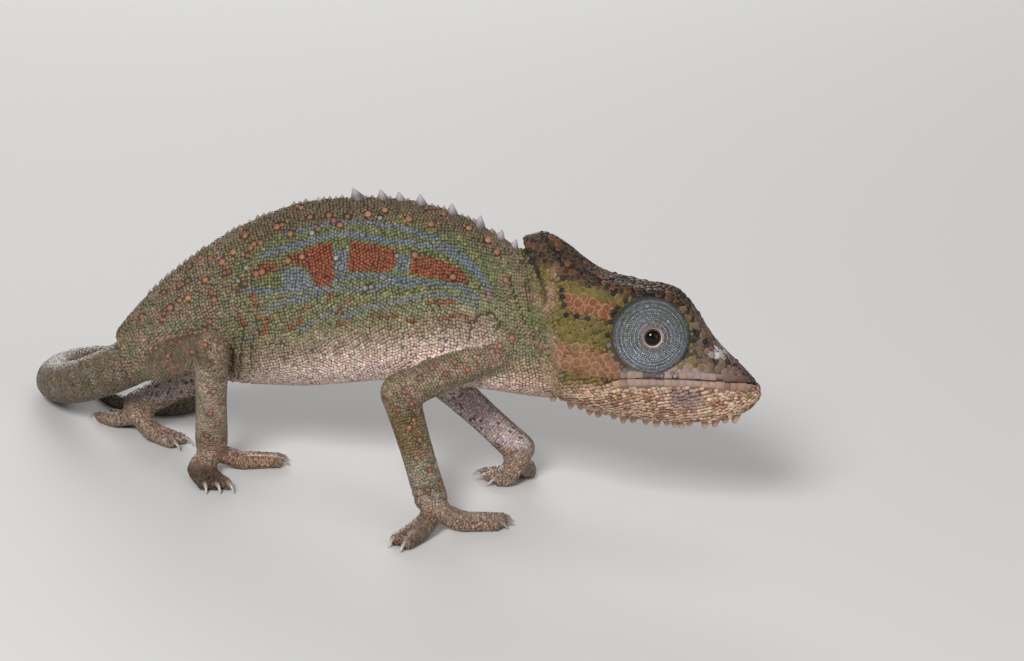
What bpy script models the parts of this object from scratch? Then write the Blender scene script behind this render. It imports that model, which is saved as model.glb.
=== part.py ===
"""Setaros dwarf chameleon standing on four feet, at life size, as a still museum model.

The body frame has x along the trunk towards the snout, y to the animal's left and z up its back.
It is pitched nose up and leaned to the left, then set over the floor z = 0. Constants are in metres.
Tables are in millimetres of the body frame, and the limbs' and toes' tables in millimetres over the floor.
"""

import math

import bmesh
import bpy
import numpy as np
from mathutils import Matrix, Vector

MM = 0.001
GAP = 0.0003
MERGE_DISTANCE = 0.000002
SHARP_ANGLE = math.radians(40.0)
PITCH = math.radians(8.0)
LEAN = math.radians(8.0)
BODY_HEIGHT = 0.0172
CENTRE_SHIFT = (0.01126, -0.00236, 0.0)

# Starts, ends and steps of the trunk and head are in rows of their tables.
TRUNK_SIDES = 28
TRUNK_STEP = 0.5
TRUNK_GIRTH_AT = 0.45
BACK_POWER = 1.45
BELLY_POWER = 2.2
NECK_START = 0.17
NECK_END = 1.87
TORSO_START = 2.0

HEAD_SIDES_PER_LINE = 2
HEAD_STEP = 0.5
MOUTH_REACH = 0.009

EYE_CENTRE = (0.01305, 0.0026, 0.0002)
EYE_AXIS = (0.18, 1.0, 0.06)
EYE_STEPS = 22
EYE_MERGE = 0.00001
NOSTRIL = (0.0191, 0.0021, -0.0029)
NOSTRIL_RADIUS = 0.00028

# A crest cone's foot is sunk in the back, and its foot radius is a share of its whole height.
CREST_CONE_HEIGHT = 0.00085
CREST_CONE_SUNK = 0.0005
CREST_CONE_SPREAD = 0.52
CREST_CONE_LEAN = 0.18
CREST_SMALLEST = 0.75
NECK_CREST_BEHIND = -1.9
THROAT_CONES = 17
THROAT_CONE_HEIGHT = 0.00075
THROAT_CONE_SUNK = 0.0004
THROAT_CONE_BASE = 0.00045
THROAT_CONE_LEAN = 0.12
THROAT_CONE_VARIES = 0.15
THROAT_CONE_BEAT = 2.3
THROAT_CONES_FROM = 0.0056
THROAT_CONES_TO = 0.0209
CASQUE_BEADS = 9
CASQUE_BEADS_FROM = 0.6
CASQUE_BEADS_TO = 4.5
CASQUE_BEAD_RADIUS = 0.00038
CONE_SIDES = 6

LIMB_SIDES = 14
LIMB_RINGS = 6
LIMB_WAIST = 0.10
ROUND_END_ANGLES = (38.0, 68.0)
FREE_NORMAL = (0.31, 0.22, 0.93)
TOE_SIDES = 8
TOE_HALF_RINGS = 3
CLAW_LENGTH = 0.0010
CLAW_RADIUS = 0.00028
CLAW_DROOP = 0.12
CLAW_ROOT = 0.5

TAIL_LENGTH = 0.058
TAIL_RADIUS = 0.00235
TAIL_TIP_RADIUS = 0.0004
TAIL_HEADING = math.radians(150.0)
TAIL_TURN = math.radians(440.0)
TAIL_TURN_POWER = 1.8
TAIL_TAPER_POWER = 0.85
TAIL_LANDING = 0.020
TAIL_FIRST_SLOPE = -0.62
TAIL_SUNK = 0.0012
TAIL_FINENESS = 0.0001
TAIL_RING_STEP = 0.0011
TAIL_NODES = 8
TAIL_SIDES = 12

SKIN_ROUGHNESS = 0.6
TURRET_ROUGHNESS = 0.5
EYE_ROUGHNESS = 0.12

# Trunk, from the neck back to the root of the tail: back point x, z, belly point x, z and half width.
TRUNK = [
    (1.3, 7.4, 3.6, -6.3, 3.4),
    (-0.1, 8.3, 1.5, -6.1, 3.5),
    (-2.1, 9.5, -1.4, -5.7, 3.9),
    (-4.9, 10.9, -4.7, -5.3, 4.5),
    (-8.6, 12.0, -8.4, -5.0, 5.0),
    (-12.3, 12.4, -12.2, -4.9, 5.2),
    (-16.1, 12.3, -15.6, -5.2, 5.2),
    (-19.8, 11.8, -18.9, -5.5, 5.0),
    (-23.6, 10.4, -22.2, -5.5, 4.6),
    (-27.3, 8.5, -25.3, -5.4, 4.1),
    (-30.6, 6.2, -28.4, -5.2, 3.6),
    (-33.4, 3.8, -31.2, -5.1, 3.2),
    (-35.7, 1.5, -33.9, -5.3, 2.7),
    (-37.5, -0.7, -35.5, -5.6, 2.2),
]

# Head, from the nape forward: x, lean of the section, height of the crown, then height and half width
# of the brow ridge, temple, upper lip, lower lip and jaw edge, and the height of the chin.
HEAD = [
    (1.3, 0.168, 8.9, 8.5, 0.8, 5.7, 2.4, 1.0, 3.6, -2.8, 3.4, -5.1, 1.8, -5.9),
    (3.1, 0.110, 9.3, 8.4, 1.6, 4.7, 3.2, -0.4, 4.3, -3.9, 3.9, -5.9, 2.1, -6.2),
    (4.7, 0.060, 8.7, 6.2, 2.9, 3.3, 3.9, -1.8, 4.7, -4.8, 4.3, -6.3, 2.4, -6.5),
    (8.2, 0.020, 6.0, 5.0, 3.4, 1.7, 4.3, -3.1, 4.9, -5.6, 4.5, -7.2, 2.5, -7.5),
    (12.0, 0.0, 4.4, 4.4, 3.0, 0.5, 3.0, -3.5, 4.2, -5.7, 4.0, -7.7, 2.2, -8.0),
    (15.7, 0.0, 3.2, 3.5, 2.5, -0.4, 2.5, -3.7, 3.4, -5.7, 3.3, -7.9, 1.8, -8.2),
    (19.0, 0.0, -0.5, -0.9, 1.8, -2.1, 2.2, -3.9, 2.6, -5.7, 2.5, -7.8, 1.4, -8.1),
    (21.8, 0.0, -3.3, -3.5, 1.1, -3.9, 1.5, -4.5, 1.6, -5.7, 1.5, -7.0, 0.9, -7.3),
    (22.9, 0.0, -4.5, -4.7, 0.5, -4.8, 0.7, -4.9, 0.8, -5.6, 0.8, -6.1, 0.5, -6.3),
    (23.2, 0.0, -4.9, -5.0, 0.3, -5.1, 0.4, -5.2, 0.5, -5.5, 0.5, -5.8, 0.3, -5.9),
]
NAPE_TOP = 0.0074

# Line of the mouth from the snout back to its corner, then down behind the jaw: x, z.
MOUTH = [(24.6, -5.0), (22.9, -4.9), (17.6, -4.6), (12.9, -4.5), (10.3, -4.5), (8.7, -4.7),
         (7.3, -5.1), (5.8, -5.9), (4.7, -6.7), (3.7, -8.0)]

# Tips of the large cones along the back: x, z.
CREST = [(-27.8, 8.2), (-24.7, 10.1), (-21.5, 11.4), (-18.2, 12.3), (-14.9, 13.2), (-12.3, 13.1),
         (-10.6, 12.9), (-8.6, 12.7), (-5.6, 11.9), (-2.9, 10.8), (-0.9, 9.5), (0.4, 8.6)]

# Turret profile from the floor of the socket outwards: radius, height.
TURRET = [(0.0, 1.45), (1.1, 1.45), (1.1, 2.35), (1.25, 2.5), (1.6, 2.42), (2.2, 2.1), (2.9, 1.6),
          (3.45, 0.9), (3.7, 0.2), (3.7, -1.4), (0.0, -1.4)]
EYEBALL = [(0.0, 2.62), (0.35, 2.56), (0.62, 2.38), (0.8, 2.1), (0.8, 1.75), (0.0, 1.75)]

# Limb joints over the floor, with the limb's radius there: x, y, z, radius.
# They are the shoulder or hip, the elbow or knee, the wrist or ankle, and the middle of the palm.
ARM_RIGHT = [
    (-0.8, -2.6, 16.0, 1.9), (-9.0, -6.6, 11.7, 1.85),
    (-4.7, -9.0, 2.9, 1.6), (-3.9, -9.4, 1.9, 1.3),
]
ARM_LEFT = [
    (-1.4, 1.9, 14.2, 1.9), (-6.4, 8.0, 8.6, 1.8),
    (1.5, 7.2, 3.3, 1.6), (1.5, 6.7, 2.1, 1.3),
]
LEG_RIGHT = [
    (-32.4, -2.1, 9.7, 2.2), (-26.7, -7.6, 13.3, 1.75),
    (-26.4, -3.4, 2.9, 1.6), (-26.3, -3.2, 2.0, 1.3),
]
LEG_LEFT = [
    (-32.4, 1.0, 8.8, 2.1), (-27.8, 7.2, 7.4, 1.75),
    (-35.0, 4.2, 2.7, 1.5), (-35.0, 4.0, 1.9, 1.2),
]

# Toes over the floor, as bundles: x, y of each toe's middle and tip.
TOES_HAND_RIGHT = [
    (-1.2, -7.1, 1.7, -5.1), (-1.1, -7.9, 1.9, -6.1), (-1.5, -8.6, 1.4, -7.1),
    (-5.6, -12.2, -6.8, -15.0), (-4.8, -12.7, -5.7, -15.6),
]
TOES_HAND_LEFT = [
    (0.3, 6.9, -1.3, 6.8), (0.5, 6.1, -0.8, 5.8), (1.1, 5.6, 0.2, 5.0),
    (2.6, 8.6, 2.4, 10.6), (1.7, 8.9, 1.2, 10.9),
]
TOES_FOOT_RIGHT = [
    (-23.6, -0.4, -20.7, 1.6), (-23.4, -1.3, -20.5, 0.5),
    (-26.7, -5.8, -24.9, -8.3), (-25.9, -5.6, -23.9, -7.7), (-27.4, -5.3, -25.9, -8.7),
]
TOES_FOOT_LEFT = [
    (-32.6, 3.2, -30.2, 2.6), (-33.1, 2.3, -31.0, 1.1),
    (-36.5, 5.2, -37.6, 6.5), (-35.6, 5.6, -36.0, 7.0), (-37.2, 4.5, -38.7, 5.2),
]
TOE_ROOT_RADIUS = 0.00095
TOE_MIDDLE_RADIUS = 0.00075
TOE_TIP_RADIUS = 0.00060

COLOURS = {
    "head": (0.33, 0.34, 0.17), "neck": (0.36, 0.37, 0.20), "torso": (0.40, 0.40, 0.22),
    "tail": (0.36, 0.33, 0.24), "limb": (0.42, 0.38, 0.27), "digits": (0.48, 0.40, 0.33),
    "turret": (0.33, 0.38, 0.38), "eye": (0.10, 0.06, 0.03),
}


def clear_scene():
    for old in list(bpy.data.objects):
        bpy.data.objects.remove(old, do_unlink=True)


def new_collection(name, hidden=False):
    made = bpy.data.collections.new(name)
    bpy.context.scene.collection.children.link(made)
    made.hide_render = hidden
    return made


def body_matrix():
    """Turns body-frame points into points over the floor."""
    turn = Matrix.Rotation(LEAN, 4, "X").inverted() @ Matrix.Rotation(-PITCH, 4, "Y")
    return Matrix.Translation((CENTRE_SHIFT[0], CENTRE_SHIFT[1], BODY_HEIGHT)) @ turn


def placed(points):
    """Body-frame points, in metres, as points over the floor."""
    turn = np.array(body_matrix())
    return np.asarray(points) @ turn[:3, :3].T + turn[:3, 3]


def over_floor(row):
    """A point of a limb table, in metres, moved with the whole model's centring."""
    return np.array(row[:3]) * MM + np.array(CENTRE_SHIFT)


def smooth(rows, at):
    """Rows of a table read at whole or part row numbers along a smooth curve through them."""
    rows = np.asarray(rows, float)
    padded = np.vstack([2 * rows[0] - rows[1], rows, 2 * rows[-1] - rows[-2]])
    at = np.atleast_1d(np.asarray(at, float))
    low = np.clip(np.floor(at).astype(int), 0, len(rows) - 2)
    u = (at - low)[:, None]
    a, b, c, d = (padded[low + k] for k in range(4))
    return 0.5 * (2 * b + (c - a) * u + (2 * a - 5 * b + 4 * c - d) * u**2 + (3 * b - a - 3 * c + d) * u**3)


def object_of(name, shape, collection):
    """A mesh object made from a bmesh shape, which is freed."""
    mesh = bpy.data.meshes.new(name)
    shape.to_mesh(mesh)
    shape.free()
    made = bpy.data.objects.new(name, mesh)
    collection.objects.link(made)
    return made


def loft(name, rings, collection):
    """A closed solid through rings of equal count, with a flat face over each end ring."""
    shape = bmesh.new()
    rows = [[shape.verts.new(point) for point in ring] for ring in rings]
    for ring, following in zip(rows, rows[1:]):
        for k in range(len(ring)):
            shape.faces.new((ring[k - 1], ring[k], following[k], following[k - 1]))
    for end in (rows[0], rows[-1]):
        shape.faces.new(end)
    bmesh.ops.recalc_face_normals(shape, faces=shape.faces)
    return object_of(name, shape, collection)


def trunk_rings(start, end, grow=0.0):
    """Sections of the trunk between two stations: a keeled back over a round belly."""
    count = max(3, int(round((end - start) / TRUNK_STEP)) + 1)
    rows = smooth(TRUNK, np.linspace(start, end, count)) * MM
    angle = np.arange(TRUNK_SIDES) * 2 * math.pi / TRUNK_SIDES
    across, up = np.cos(angle), np.sin(angle)
    power = np.where(up > 0, BACK_POWER, BELLY_POWER)
    across = np.sign(across) * np.abs(across) ** (2 / power)
    up = np.sign(up) * np.abs(up) ** (2 / power)
    rings = []
    for back_x, back_z, belly_x, belly_z, half in rows:
        back, belly = np.array([back_x, 0, back_z]), np.array([belly_x, 0, belly_z])
        lift = (back - belly) / np.linalg.norm(back - belly) * grow
        centre = belly + (back - belly) * TRUNK_GIRTH_AT
        reach = np.where(up[:, None] > 0, back + lift - centre, centre - belly + lift)
        rings.append(centre + up[:, None] * reach + across[:, None] * np.array([0, half + grow, 0]))
    return placed(rings)


def head_rings():
    """Sections of the head through its crown, brow, temple, lips, jaw edge and chin lines."""
    count = int(round((len(HEAD) - 1) / HEAD_STEP)) + 1
    rings = []
    for row in smooth(HEAD, np.linspace(0, len(HEAD) - 1, count)):
        x, lean, crown, *sides, chin = row
        sides = list(zip(sides[1::2], sides[0::2]))
        lines = [(0.0, crown)] + sides + [(0.0, chin)] + [(-w, z) for w, z in reversed(sides)]
        closed = np.array(lines[-1:] + lines + lines[:2]) * MM
        around = np.arange(len(lines) * HEAD_SIDES_PER_LINE) / HEAD_SIDES_PER_LINE
        across, height = smooth(closed, around + 1).T
        rings.append(np.stack([x * MM + lean * (NAPE_TOP - height), across, height], axis=1))
    return placed(rings)


def tube(name, path, radii, sides, collection, up=None, round_start=False, round_end=False):
    """A tapering tube. Its sections turn with the path, or keep one side facing down when up is given."""
    path, radii = np.asarray(path, float), np.asarray(radii, float)
    along = np.gradient(path, axis=0)
    along /= np.linalg.norm(along, axis=1)[:, None]
    if round_end:
        path, radii, along = rounded(path, radii, along, 1)
    if round_start:
        path, radii, along = (part[::-1] for part in rounded(path[::-1], radii[::-1], along[::-1], -1))
    normal = np.array(up or FREE_NORMAL, float)
    angle = (np.arange(sides) + 0.5) * 2 * math.pi / sides
    rings = []
    for point, radius, ahead in zip(path, radii, along):
        first = normal - ahead * (normal @ ahead)
        first /= np.linalg.norm(first)
        normal = normal if up else first
        second = np.cross(ahead, first)
        rings.append(point - radius * (np.cos(angle)[:, None] * first + np.sin(angle)[:, None] * second))
    return loft(name, rings, collection)


def rounded(path, radii, along, way):
    """Adds the rings of a round end to a path."""
    angles = np.radians(ROUND_END_ANGLES)
    extra = path[-1] + way * along[-1] * radii[-1] * np.sin(angles)[:, None]
    return (np.vstack([path, extra]), np.append(radii, radii[-1] * np.cos(angles)),
            np.vstack([along, along[-1:], along[-1:]]))


def turned(name, profile, collection):
    """A turned solid about z from radius and height pairs in millimetres."""
    mesh = bpy.data.meshes.new(name)
    points = [(radius * MM, 0, height * MM) for radius, height in profile]
    mesh.from_pydata(points, [(k, k + 1) for k in range(len(points) - 1)], [])
    made = bpy.data.objects.new(name, mesh)
    collection.objects.link(made)
    screw = made.modifiers.new("Turn", "SCREW")
    screw.steps = screw.render_steps = EYE_STEPS
    screw.use_merge_vertices = True
    screw.merge_threshold = EYE_MERGE
    return applied(made)


def cone(name, foot, direction, radius, height, collection):
    """A pointed cone from the middle of its foot along a direction."""
    shape = bmesh.new()
    bmesh.ops.create_cone(shape, cap_ends=True, segments=CONE_SIDES, radius1=radius, radius2=0.0,
                          depth=height)
    direction = Vector(direction).normalized()
    middle = Matrix.Translation(Vector(foot) + direction * height / 2)
    turn = direction.to_track_quat("Z", "Y").to_matrix().to_4x4()
    bmesh.ops.transform(shape, matrix=middle @ turn, verts=shape.verts)
    return object_of(name, shape, collection)


def ball(name, centre, radius, collection):
    """A small round bead."""
    shape = bmesh.new()
    bmesh.ops.create_icosphere(shape, subdivisions=1, radius=radius)
    bmesh.ops.translate(shape, vec=Vector(centre), verts=shape.verts)
    return object_of(name, shape, collection)


def applied(made):
    """The object with its modifiers made into its mesh, facing outwards."""
    bpy.context.view_layer.update()
    seen = made.evaluated_get(bpy.context.evaluated_depsgraph_get())
    mesh = bpy.data.meshes.new_from_object(seen)
    made.modifiers.clear()
    made.data = mesh
    shape = bmesh.new()
    shape.from_mesh(mesh)
    bmesh.ops.remove_doubles(shape, verts=shape.verts, dist=MERGE_DISTANCE)
    bmesh.ops.dissolve_degenerate(shape, edges=shape.edges, dist=MERGE_DISTANCE)
    bmesh.ops.recalc_face_normals(shape, faces=shape.faces)
    shape.to_mesh(mesh)
    shape.free()
    return made


def closed_surfaces(made):
    """The separate closed surfaces of an object, the largest first, as sets of face numbers."""
    shape = bmesh.new()
    shape.from_mesh(made.data)
    shape.faces.ensure_lookup_table()
    left, groups = set(range(len(shape.faces))), []
    while left:
        found, edge = set(), [left.pop()]
        while edge:
            number = edge.pop()
            found.add(number)
            for near in (f.index for e in shape.faces[number].edges for f in e.link_faces):
                if near in left:
                    left.discard(near)
                    edge.append(near)
        groups.append(found)
    groups.sort(key=lambda group: -sum(shape.faces[k].calc_area() for k in group))
    shape.free()
    return groups


def keep(made, group):
    """Keeps one closed surface of an object."""
    shape = bmesh.new()
    shape.from_mesh(made.data)
    shape.faces.ensure_lookup_table()
    dropped = [face for face in shape.faces if face.index not in group]
    bmesh.ops.delete(shape, geom=dropped, context="FACES")
    bmesh.ops.recalc_face_normals(shape, faces=shape.faces)
    shape.to_mesh(made.data)
    shape.free()


def fuse(made, pieces):
    """Joins pieces to an object as one closed body, and removes them."""
    group = bpy.data.collections.new("joined")
    bpy.context.scene.collection.children.link(group)
    for piece in pieces:
        group.objects.link(piece)
    union = made.modifiers.new("Union", "BOOLEAN")
    union.operation = "UNION"
    union.operand_type = "COLLECTION"
    union.collection = group
    applied(made)
    for piece in pieces:
        bpy.data.objects.remove(piece, do_unlink=True)
    bpy.data.collections.remove(group)
    keep(made, closed_surfaces(made)[0])


def take_out(made, cutter):
    """Takes a cutter's shape out of an object."""
    difference = made.modifiers.new("Cut", "BOOLEAN")
    difference.operation = "DIFFERENCE"
    difference.object = cutter
    applied(made)


def cut(made, cutter):
    """Cuts an object clear of a cutter and keeps its largest part."""
    take_out(made, cutter)
    keep(made, closed_surfaces(made)[0])


def grown(made, collection, by=GAP):
    """A cutter with the shape of an object, larger by a gap all round."""
    mesh = made.data.copy()
    shape = bmesh.new()
    shape.from_mesh(mesh)
    bmesh.ops.recalc_face_normals(shape, faces=shape.faces)
    shape.normal_update()
    moves = [vertex.normal.copy() * by for vertex in shape.verts]
    for vertex, move in zip(shape.verts, moves):
        vertex.co += move
    shape.to_mesh(mesh)
    shape.free()
    copy = bpy.data.objects.new(made.name + "_clear", mesh)
    collection.objects.link(copy)
    return copy


def finish(made, colour, roughness=SKIN_ROUGHNESS):
    """Gives an object its material and smooth shading with sharp edges kept."""
    material = bpy.data.materials.new(made.name + "_skin")
    material.use_nodes = True
    base = material.node_tree.nodes["Principled BSDF"]
    base.inputs["Base Color"].default_value = (*colour, 1.0)
    base.inputs["Roughness"].default_value = roughness
    base.inputs["Metallic"].default_value = 0.0
    made.data.materials.clear()
    made.data.materials.append(material)
    made.data.shade_smooth()
    made.data.set_sharp_from_angle(angle=SHARP_ANGLE)


def build_trunk(parts, cutters):
    """Neck and torso with the crest of the back. Returns a cutter that clears both."""
    neck = loft("neck", trunk_rings(NECK_START, NECK_END), parts)
    torso = loft("torso", trunk_rings(TORSO_START, len(TRUNK) - 1), parts)
    cutter = loft("trunk_clear", trunk_rings(0.0, len(TRUNK) - 1, GAP), cutters)
    for node in (torso, neck):
        numbers = [k for k, (x, _) in enumerate(CREST) if (x > NECK_CREST_BEHIND) == (node is neck)]
        fuse(node, [crest_cone(number, parts) for number in numbers])
        finish(node, COLOURS[node.name])
    return cutter


def crest_cone(number, collection):
    """One cone of the back's crest, leaning slightly towards the tail. They grow towards the head."""
    before, after = CREST[max(0, number - 1)], CREST[min(len(CREST) - 1, number + 1)]
    along = Vector((after[0] - before[0], 0, after[1] - before[1])).normalized()
    way = (Vector((-along.z, 0, along.x)) - CREST_CONE_LEAN * along).normalized()
    size = CREST_SMALLEST + (1 - CREST_SMALLEST) * number / (len(CREST) - 1)
    height = CREST_CONE_HEIGHT * size + CREST_CONE_SUNK
    tip = Vector((CREST[number][0] * MM, 0, CREST[number][1] * MM))
    turn = body_matrix()
    foot = turn @ (tip - way * height)
    return cone(f"crest_{number}", foot, turn.to_3x3() @ way, CREST_CONE_SPREAD * height, height, collection)


def build_head(parts, cutters):
    """Head and lower jaw, parted along the mouth. Returns a cutter that clears both."""
    whole = loft("head", head_rings(), parts)
    cutter = grown(whole, cutters)
    mouth = np.array(MOUTH) * MM
    along = np.gradient(mouth, axis=0)
    side = np.stack([-along[:, 1], along[:, 0]], axis=1) / np.linalg.norm(along, axis=1)[:, None] * GAP / 2
    rings = []
    for point, off in zip(mouth, side):
        corners = ((point - off, -1), (point - off, 1), (point + off, 1), (point + off, -1))
        rings.append([(at[0], way * MOUTH_REACH, at[1]) for at, way in corners])
    sheet = loft("mouth_sheet", placed(rings), cutters)
    take_out(whole, sheet)
    jaw = bpy.data.objects.new("lower_jaw", whole.data.copy())
    parts.objects.link(jaw)
    surfaces = closed_surfaces(whole)
    keep(whole, surfaces[0])
    keep(jaw, surfaces[1])
    for way in (-1, 1):
        middle = placed([NOSTRIL[0], way * NOSTRIL[1], NOSTRIL[2]])
        cut(whole, ball(f"nostril_{way}", middle, NOSTRIL_RADIUS, cutters))
    fuse(whole, casque_beads(parts))
    fuse(jaw, throat_cones(parts))
    finish(whole, COLOURS["head"])
    finish(jaw, COLOURS["head"])
    return cutter


def casque_beads(collection):
    """The row of large beads along each side of the casque and over each eye."""
    beads = []
    for number, row in enumerate(smooth(HEAD, np.linspace(CASQUE_BEADS_FROM, CASQUE_BEADS_TO, CASQUE_BEADS))):
        for way in (-1, 1):
            middle = placed(np.array([row[0], way * row[4], row[3]]) * MM)
            beads.append(ball(f"bead_{number}_{way}", middle, CASQUE_BEAD_RADIUS, collection))
    return beads


def throat_cones(collection):
    """The row of soft cones that hangs from the chin."""
    chin = np.array([(row[0] + row[1] * (NAPE_TOP / MM - row[13]), row[13]) for row in HEAD])
    turn = body_matrix()
    way = Vector((-THROAT_CONE_LEAN, 0, -1)).normalized()
    cones = []
    for number, x in enumerate(np.linspace(THROAT_CONES_FROM, THROAT_CONES_TO, THROAT_CONES)):
        z = np.interp(x / MM, chin[:, 0], chin[:, 1]) * MM
        size = 1 - THROAT_CONE_VARIES * (1 - math.cos(number * THROAT_CONE_BEAT))
        height = THROAT_CONE_HEIGHT * size + THROAT_CONE_SUNK
        foot = turn @ (Vector((x, 0, z)) - way * THROAT_CONE_SUNK)
        down = turn.to_3x3() @ way
        cones.append(cone(f"throat_{number}", foot, down, THROAT_CONE_BASE, height, collection))
    return cones


def build_eyes(parts, head_clear):
    """On each side a turret of skin round an eyeball, both turned about the eye's axis."""
    for name, way in (("right", -1), ("left", 1)):
        axis = Vector((EYE_AXIS[0], way * EYE_AXIS[1], EYE_AXIS[2])).normalized()
        centre = Vector((EYE_CENTRE[0], way * EYE_CENTRE[1], EYE_CENTRE[2]))
        turn = body_matrix() @ Matrix.Translation(centre) @ axis.to_track_quat("Z", "Y").to_matrix().to_4x4()
        turret = turned(f"eye_turret_{name}", TURRET, parts)
        turret.data.transform(turn)
        cut(turret, head_clear)
        finish(turret, COLOURS["turret"], TURRET_ROUGHNESS)
        eyeball = turned(f"eye_{name}", EYEBALL, parts)
        eyeball.data.transform(turn)
        finish(eyeball, COLOURS["eye"], EYE_ROUGHNESS)


def limb_segment(name, start, end, parts):
    """One length of a limb with a round end at each joint and a slight waist."""
    a, b = over_floor(start), over_floor(end)
    share = np.linspace(0, 1, LIMB_RINGS)
    path = a + (b - a) * share[:, None]
    radii = (start[3] + (end[3] - start[3]) * share) * MM * (1 - LIMB_WAIST * np.sin(math.pi * share))
    return tube(name, path, radii, LIMB_SIDES, parts, round_start=True, round_end=True)


def toe(name, root, row, collection):
    """One toe, from inside the palm down to the floor and along it, and its claw."""
    flat = math.cos(math.pi / TOE_SIDES)
    middle = over_floor((row[0], row[1], TOE_MIDDLE_RADIUS * flat / MM))
    tip = over_floor((row[2], row[3], TOE_TIP_RADIUS * flat / MM))
    at = np.linspace(0, 2, 2 * TOE_HALF_RINGS + 1)
    path = smooth([root, middle, tip], at)
    path[TOE_HALF_RINGS:, 2] = np.linspace(middle[2], tip[2], TOE_HALF_RINGS + 1)
    radii = np.interp(at, [0, 1, 2], [TOE_ROOT_RADIUS, TOE_MIDDLE_RADIUS, TOE_TIP_RADIUS])
    flesh = tube(name, path, radii, TOE_SIDES, collection, up=(0, 0, 1), round_end=True)
    ahead = Vector(path[-1] - path[-2]).normalized()
    sunk = TOE_TIP_RADIUS * CLAW_ROOT
    foot = Vector(path[-1]) + ahead * sunk
    way = ahead - Vector((0, 0, CLAW_DROOP))
    claw = cone(name + "_claw", foot, way, CLAW_RADIUS, CLAW_LENGTH + sunk, collection)
    return [flesh, claw]


def build_limb(names, joints, toes, parts, cutters, trunk_clear):
    """Upper and lower lengths of a limb and its gripping hand or foot, each cut clear of the one before."""
    upper, lower, foot = (limb_segment(*row, parts) for row in zip(names, joints, joints[1:]))
    pieces = []
    for number, row in enumerate(toes):
        pieces += toe(f"{names[2]}_toe_{number}", over_floor(joints[3]), row, parts)
    fuse(foot, pieces)
    upper_clear, lower_clear = grown(upper, cutters), grown(lower, cutters)
    for made, clears, colour in ((upper, [trunk_clear], "limb"), (lower, [upper_clear, trunk_clear], "limb"),
                                 (foot, [lower_clear], "digits")):
        for clear in clears:
            cut(made, clear)
        finish(made, COLOURS[colour])


def tail_path():
    """The tail's centre line and radii every 0.1 mm: down to the floor, then round in a loose coil."""
    back, belly = np.array(TRUNK[-1][:2]), np.array(TRUNK[-1][2:4])
    middle = (back + belly) / 2 * MM
    start = placed([middle[0] + TAIL_SUNK, 0, middle[1]])
    length = np.linspace(0, TAIL_LENGTH, round(TAIL_LENGTH / TAIL_FINENESS) + 1)
    heading = TAIL_HEADING - TAIL_TURN * (length / TAIL_LENGTH) ** TAIL_TURN_POWER
    share = length / TAIL_LENGTH
    radii = TAIL_TIP_RADIUS + (TAIL_RADIUS - TAIL_TIP_RADIUS) * (1 - share) ** TAIL_TAPER_POWER
    low = radii * math.cos(math.pi / TAIL_SIDES)
    u = np.clip(length / TAIL_LANDING, 0, 1)
    fall = (2 * u**3 - 3 * u**2 + 1) * start[2]
    fall += (u**3 - 2 * u**2 + u) * TAIL_LANDING * TAIL_FIRST_SLOPE
    height = fall + (3 * u**2 - 2 * u**3) * low
    level = np.sqrt(1 - np.gradient(height, length) ** 2) * TAIL_FINENESS
    x = start[0] + np.concatenate([[0], np.cumsum(np.cos(heading) * level)[:-1]])
    y = start[1] + np.concatenate([[0], np.cumsum(np.sin(heading) * level)[:-1]])
    return length, np.stack([x, y, height], axis=1), radii


def build_tail(parts, trunk_clear):
    """The tail in nodes that each turn through the same angle, so that none of them bends far."""
    length, path, radii = tail_path()
    turned_by = (length / TAIL_LENGTH) ** TAIL_TURN_POWER
    ends = [0.0] + [float(np.interp(k / TAIL_NODES, turned_by, length)) for k in range(1, TAIL_NODES + 1)]
    for number, (low, high) in enumerate(zip(ends, ends[1:]), start=1):
        last = number == TAIL_NODES
        count = round((high - low) / TAIL_RING_STEP) + 1
        at = np.linspace(low, high if last else high - GAP, count)
        line = np.stack([np.interp(at, length, path[:, k]) for k in range(3)], axis=1)
        thick = np.interp(at, length, radii)
        made = tube(f"tail_{number}", line, thick, TAIL_SIDES, parts, up=(0, 0, 1), round_end=last)
        if number == 1:
            cut(made, trunk_clear)
        finish(made, COLOURS["tail"])


def main():
    clear_scene()
    parts = new_collection("dwarf_chameleon")
    cutters = new_collection("cutters", hidden=True)
    trunk_clear = build_trunk(parts, cutters)
    head_clear = build_head(parts, cutters)
    build_eyes(parts, head_clear)
    for joints, toes, names in (
        (ARM_RIGHT, TOES_HAND_RIGHT, ("upper_arm_right", "forearm_right", "hand_right")),
        (ARM_LEFT, TOES_HAND_LEFT, ("upper_arm_left", "forearm_left", "hand_left")),
        (LEG_RIGHT, TOES_FOOT_RIGHT, ("thigh_right", "shin_right", "foot_right")),
        (LEG_LEFT, TOES_FOOT_LEFT, ("thigh_left", "shin_left", "foot_left")),
    ):
        build_limb(names, joints, toes, parts, cutters, trunk_clear)
    build_tail(parts, trunk_clear)
    for cutter in cutters.objects:
        cutter.hide_render = True
        cutter.display_type = "WIRE"


main()
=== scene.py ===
"""Setaros dwarf chameleon at life size: its skin, scales, crests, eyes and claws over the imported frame.

Shapes are worked out in the animal's own frame, x to the snout, y to its left and z up its back,
and are then turned onto the floor. Tables are in millimetres, and other sizes in metres.
Places of markings are pixels of a 1024 by 661 side view, the one that the camera keeps.
"""

import logging
import math
from dataclasses import dataclass, field
from enum import Enum

import bmesh
import bpy
import numpy as np
from mathutils import Matrix, Vector
from mathutils.bvhtree import BVHTree
from mathutils.kdtree import KDTree


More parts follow.
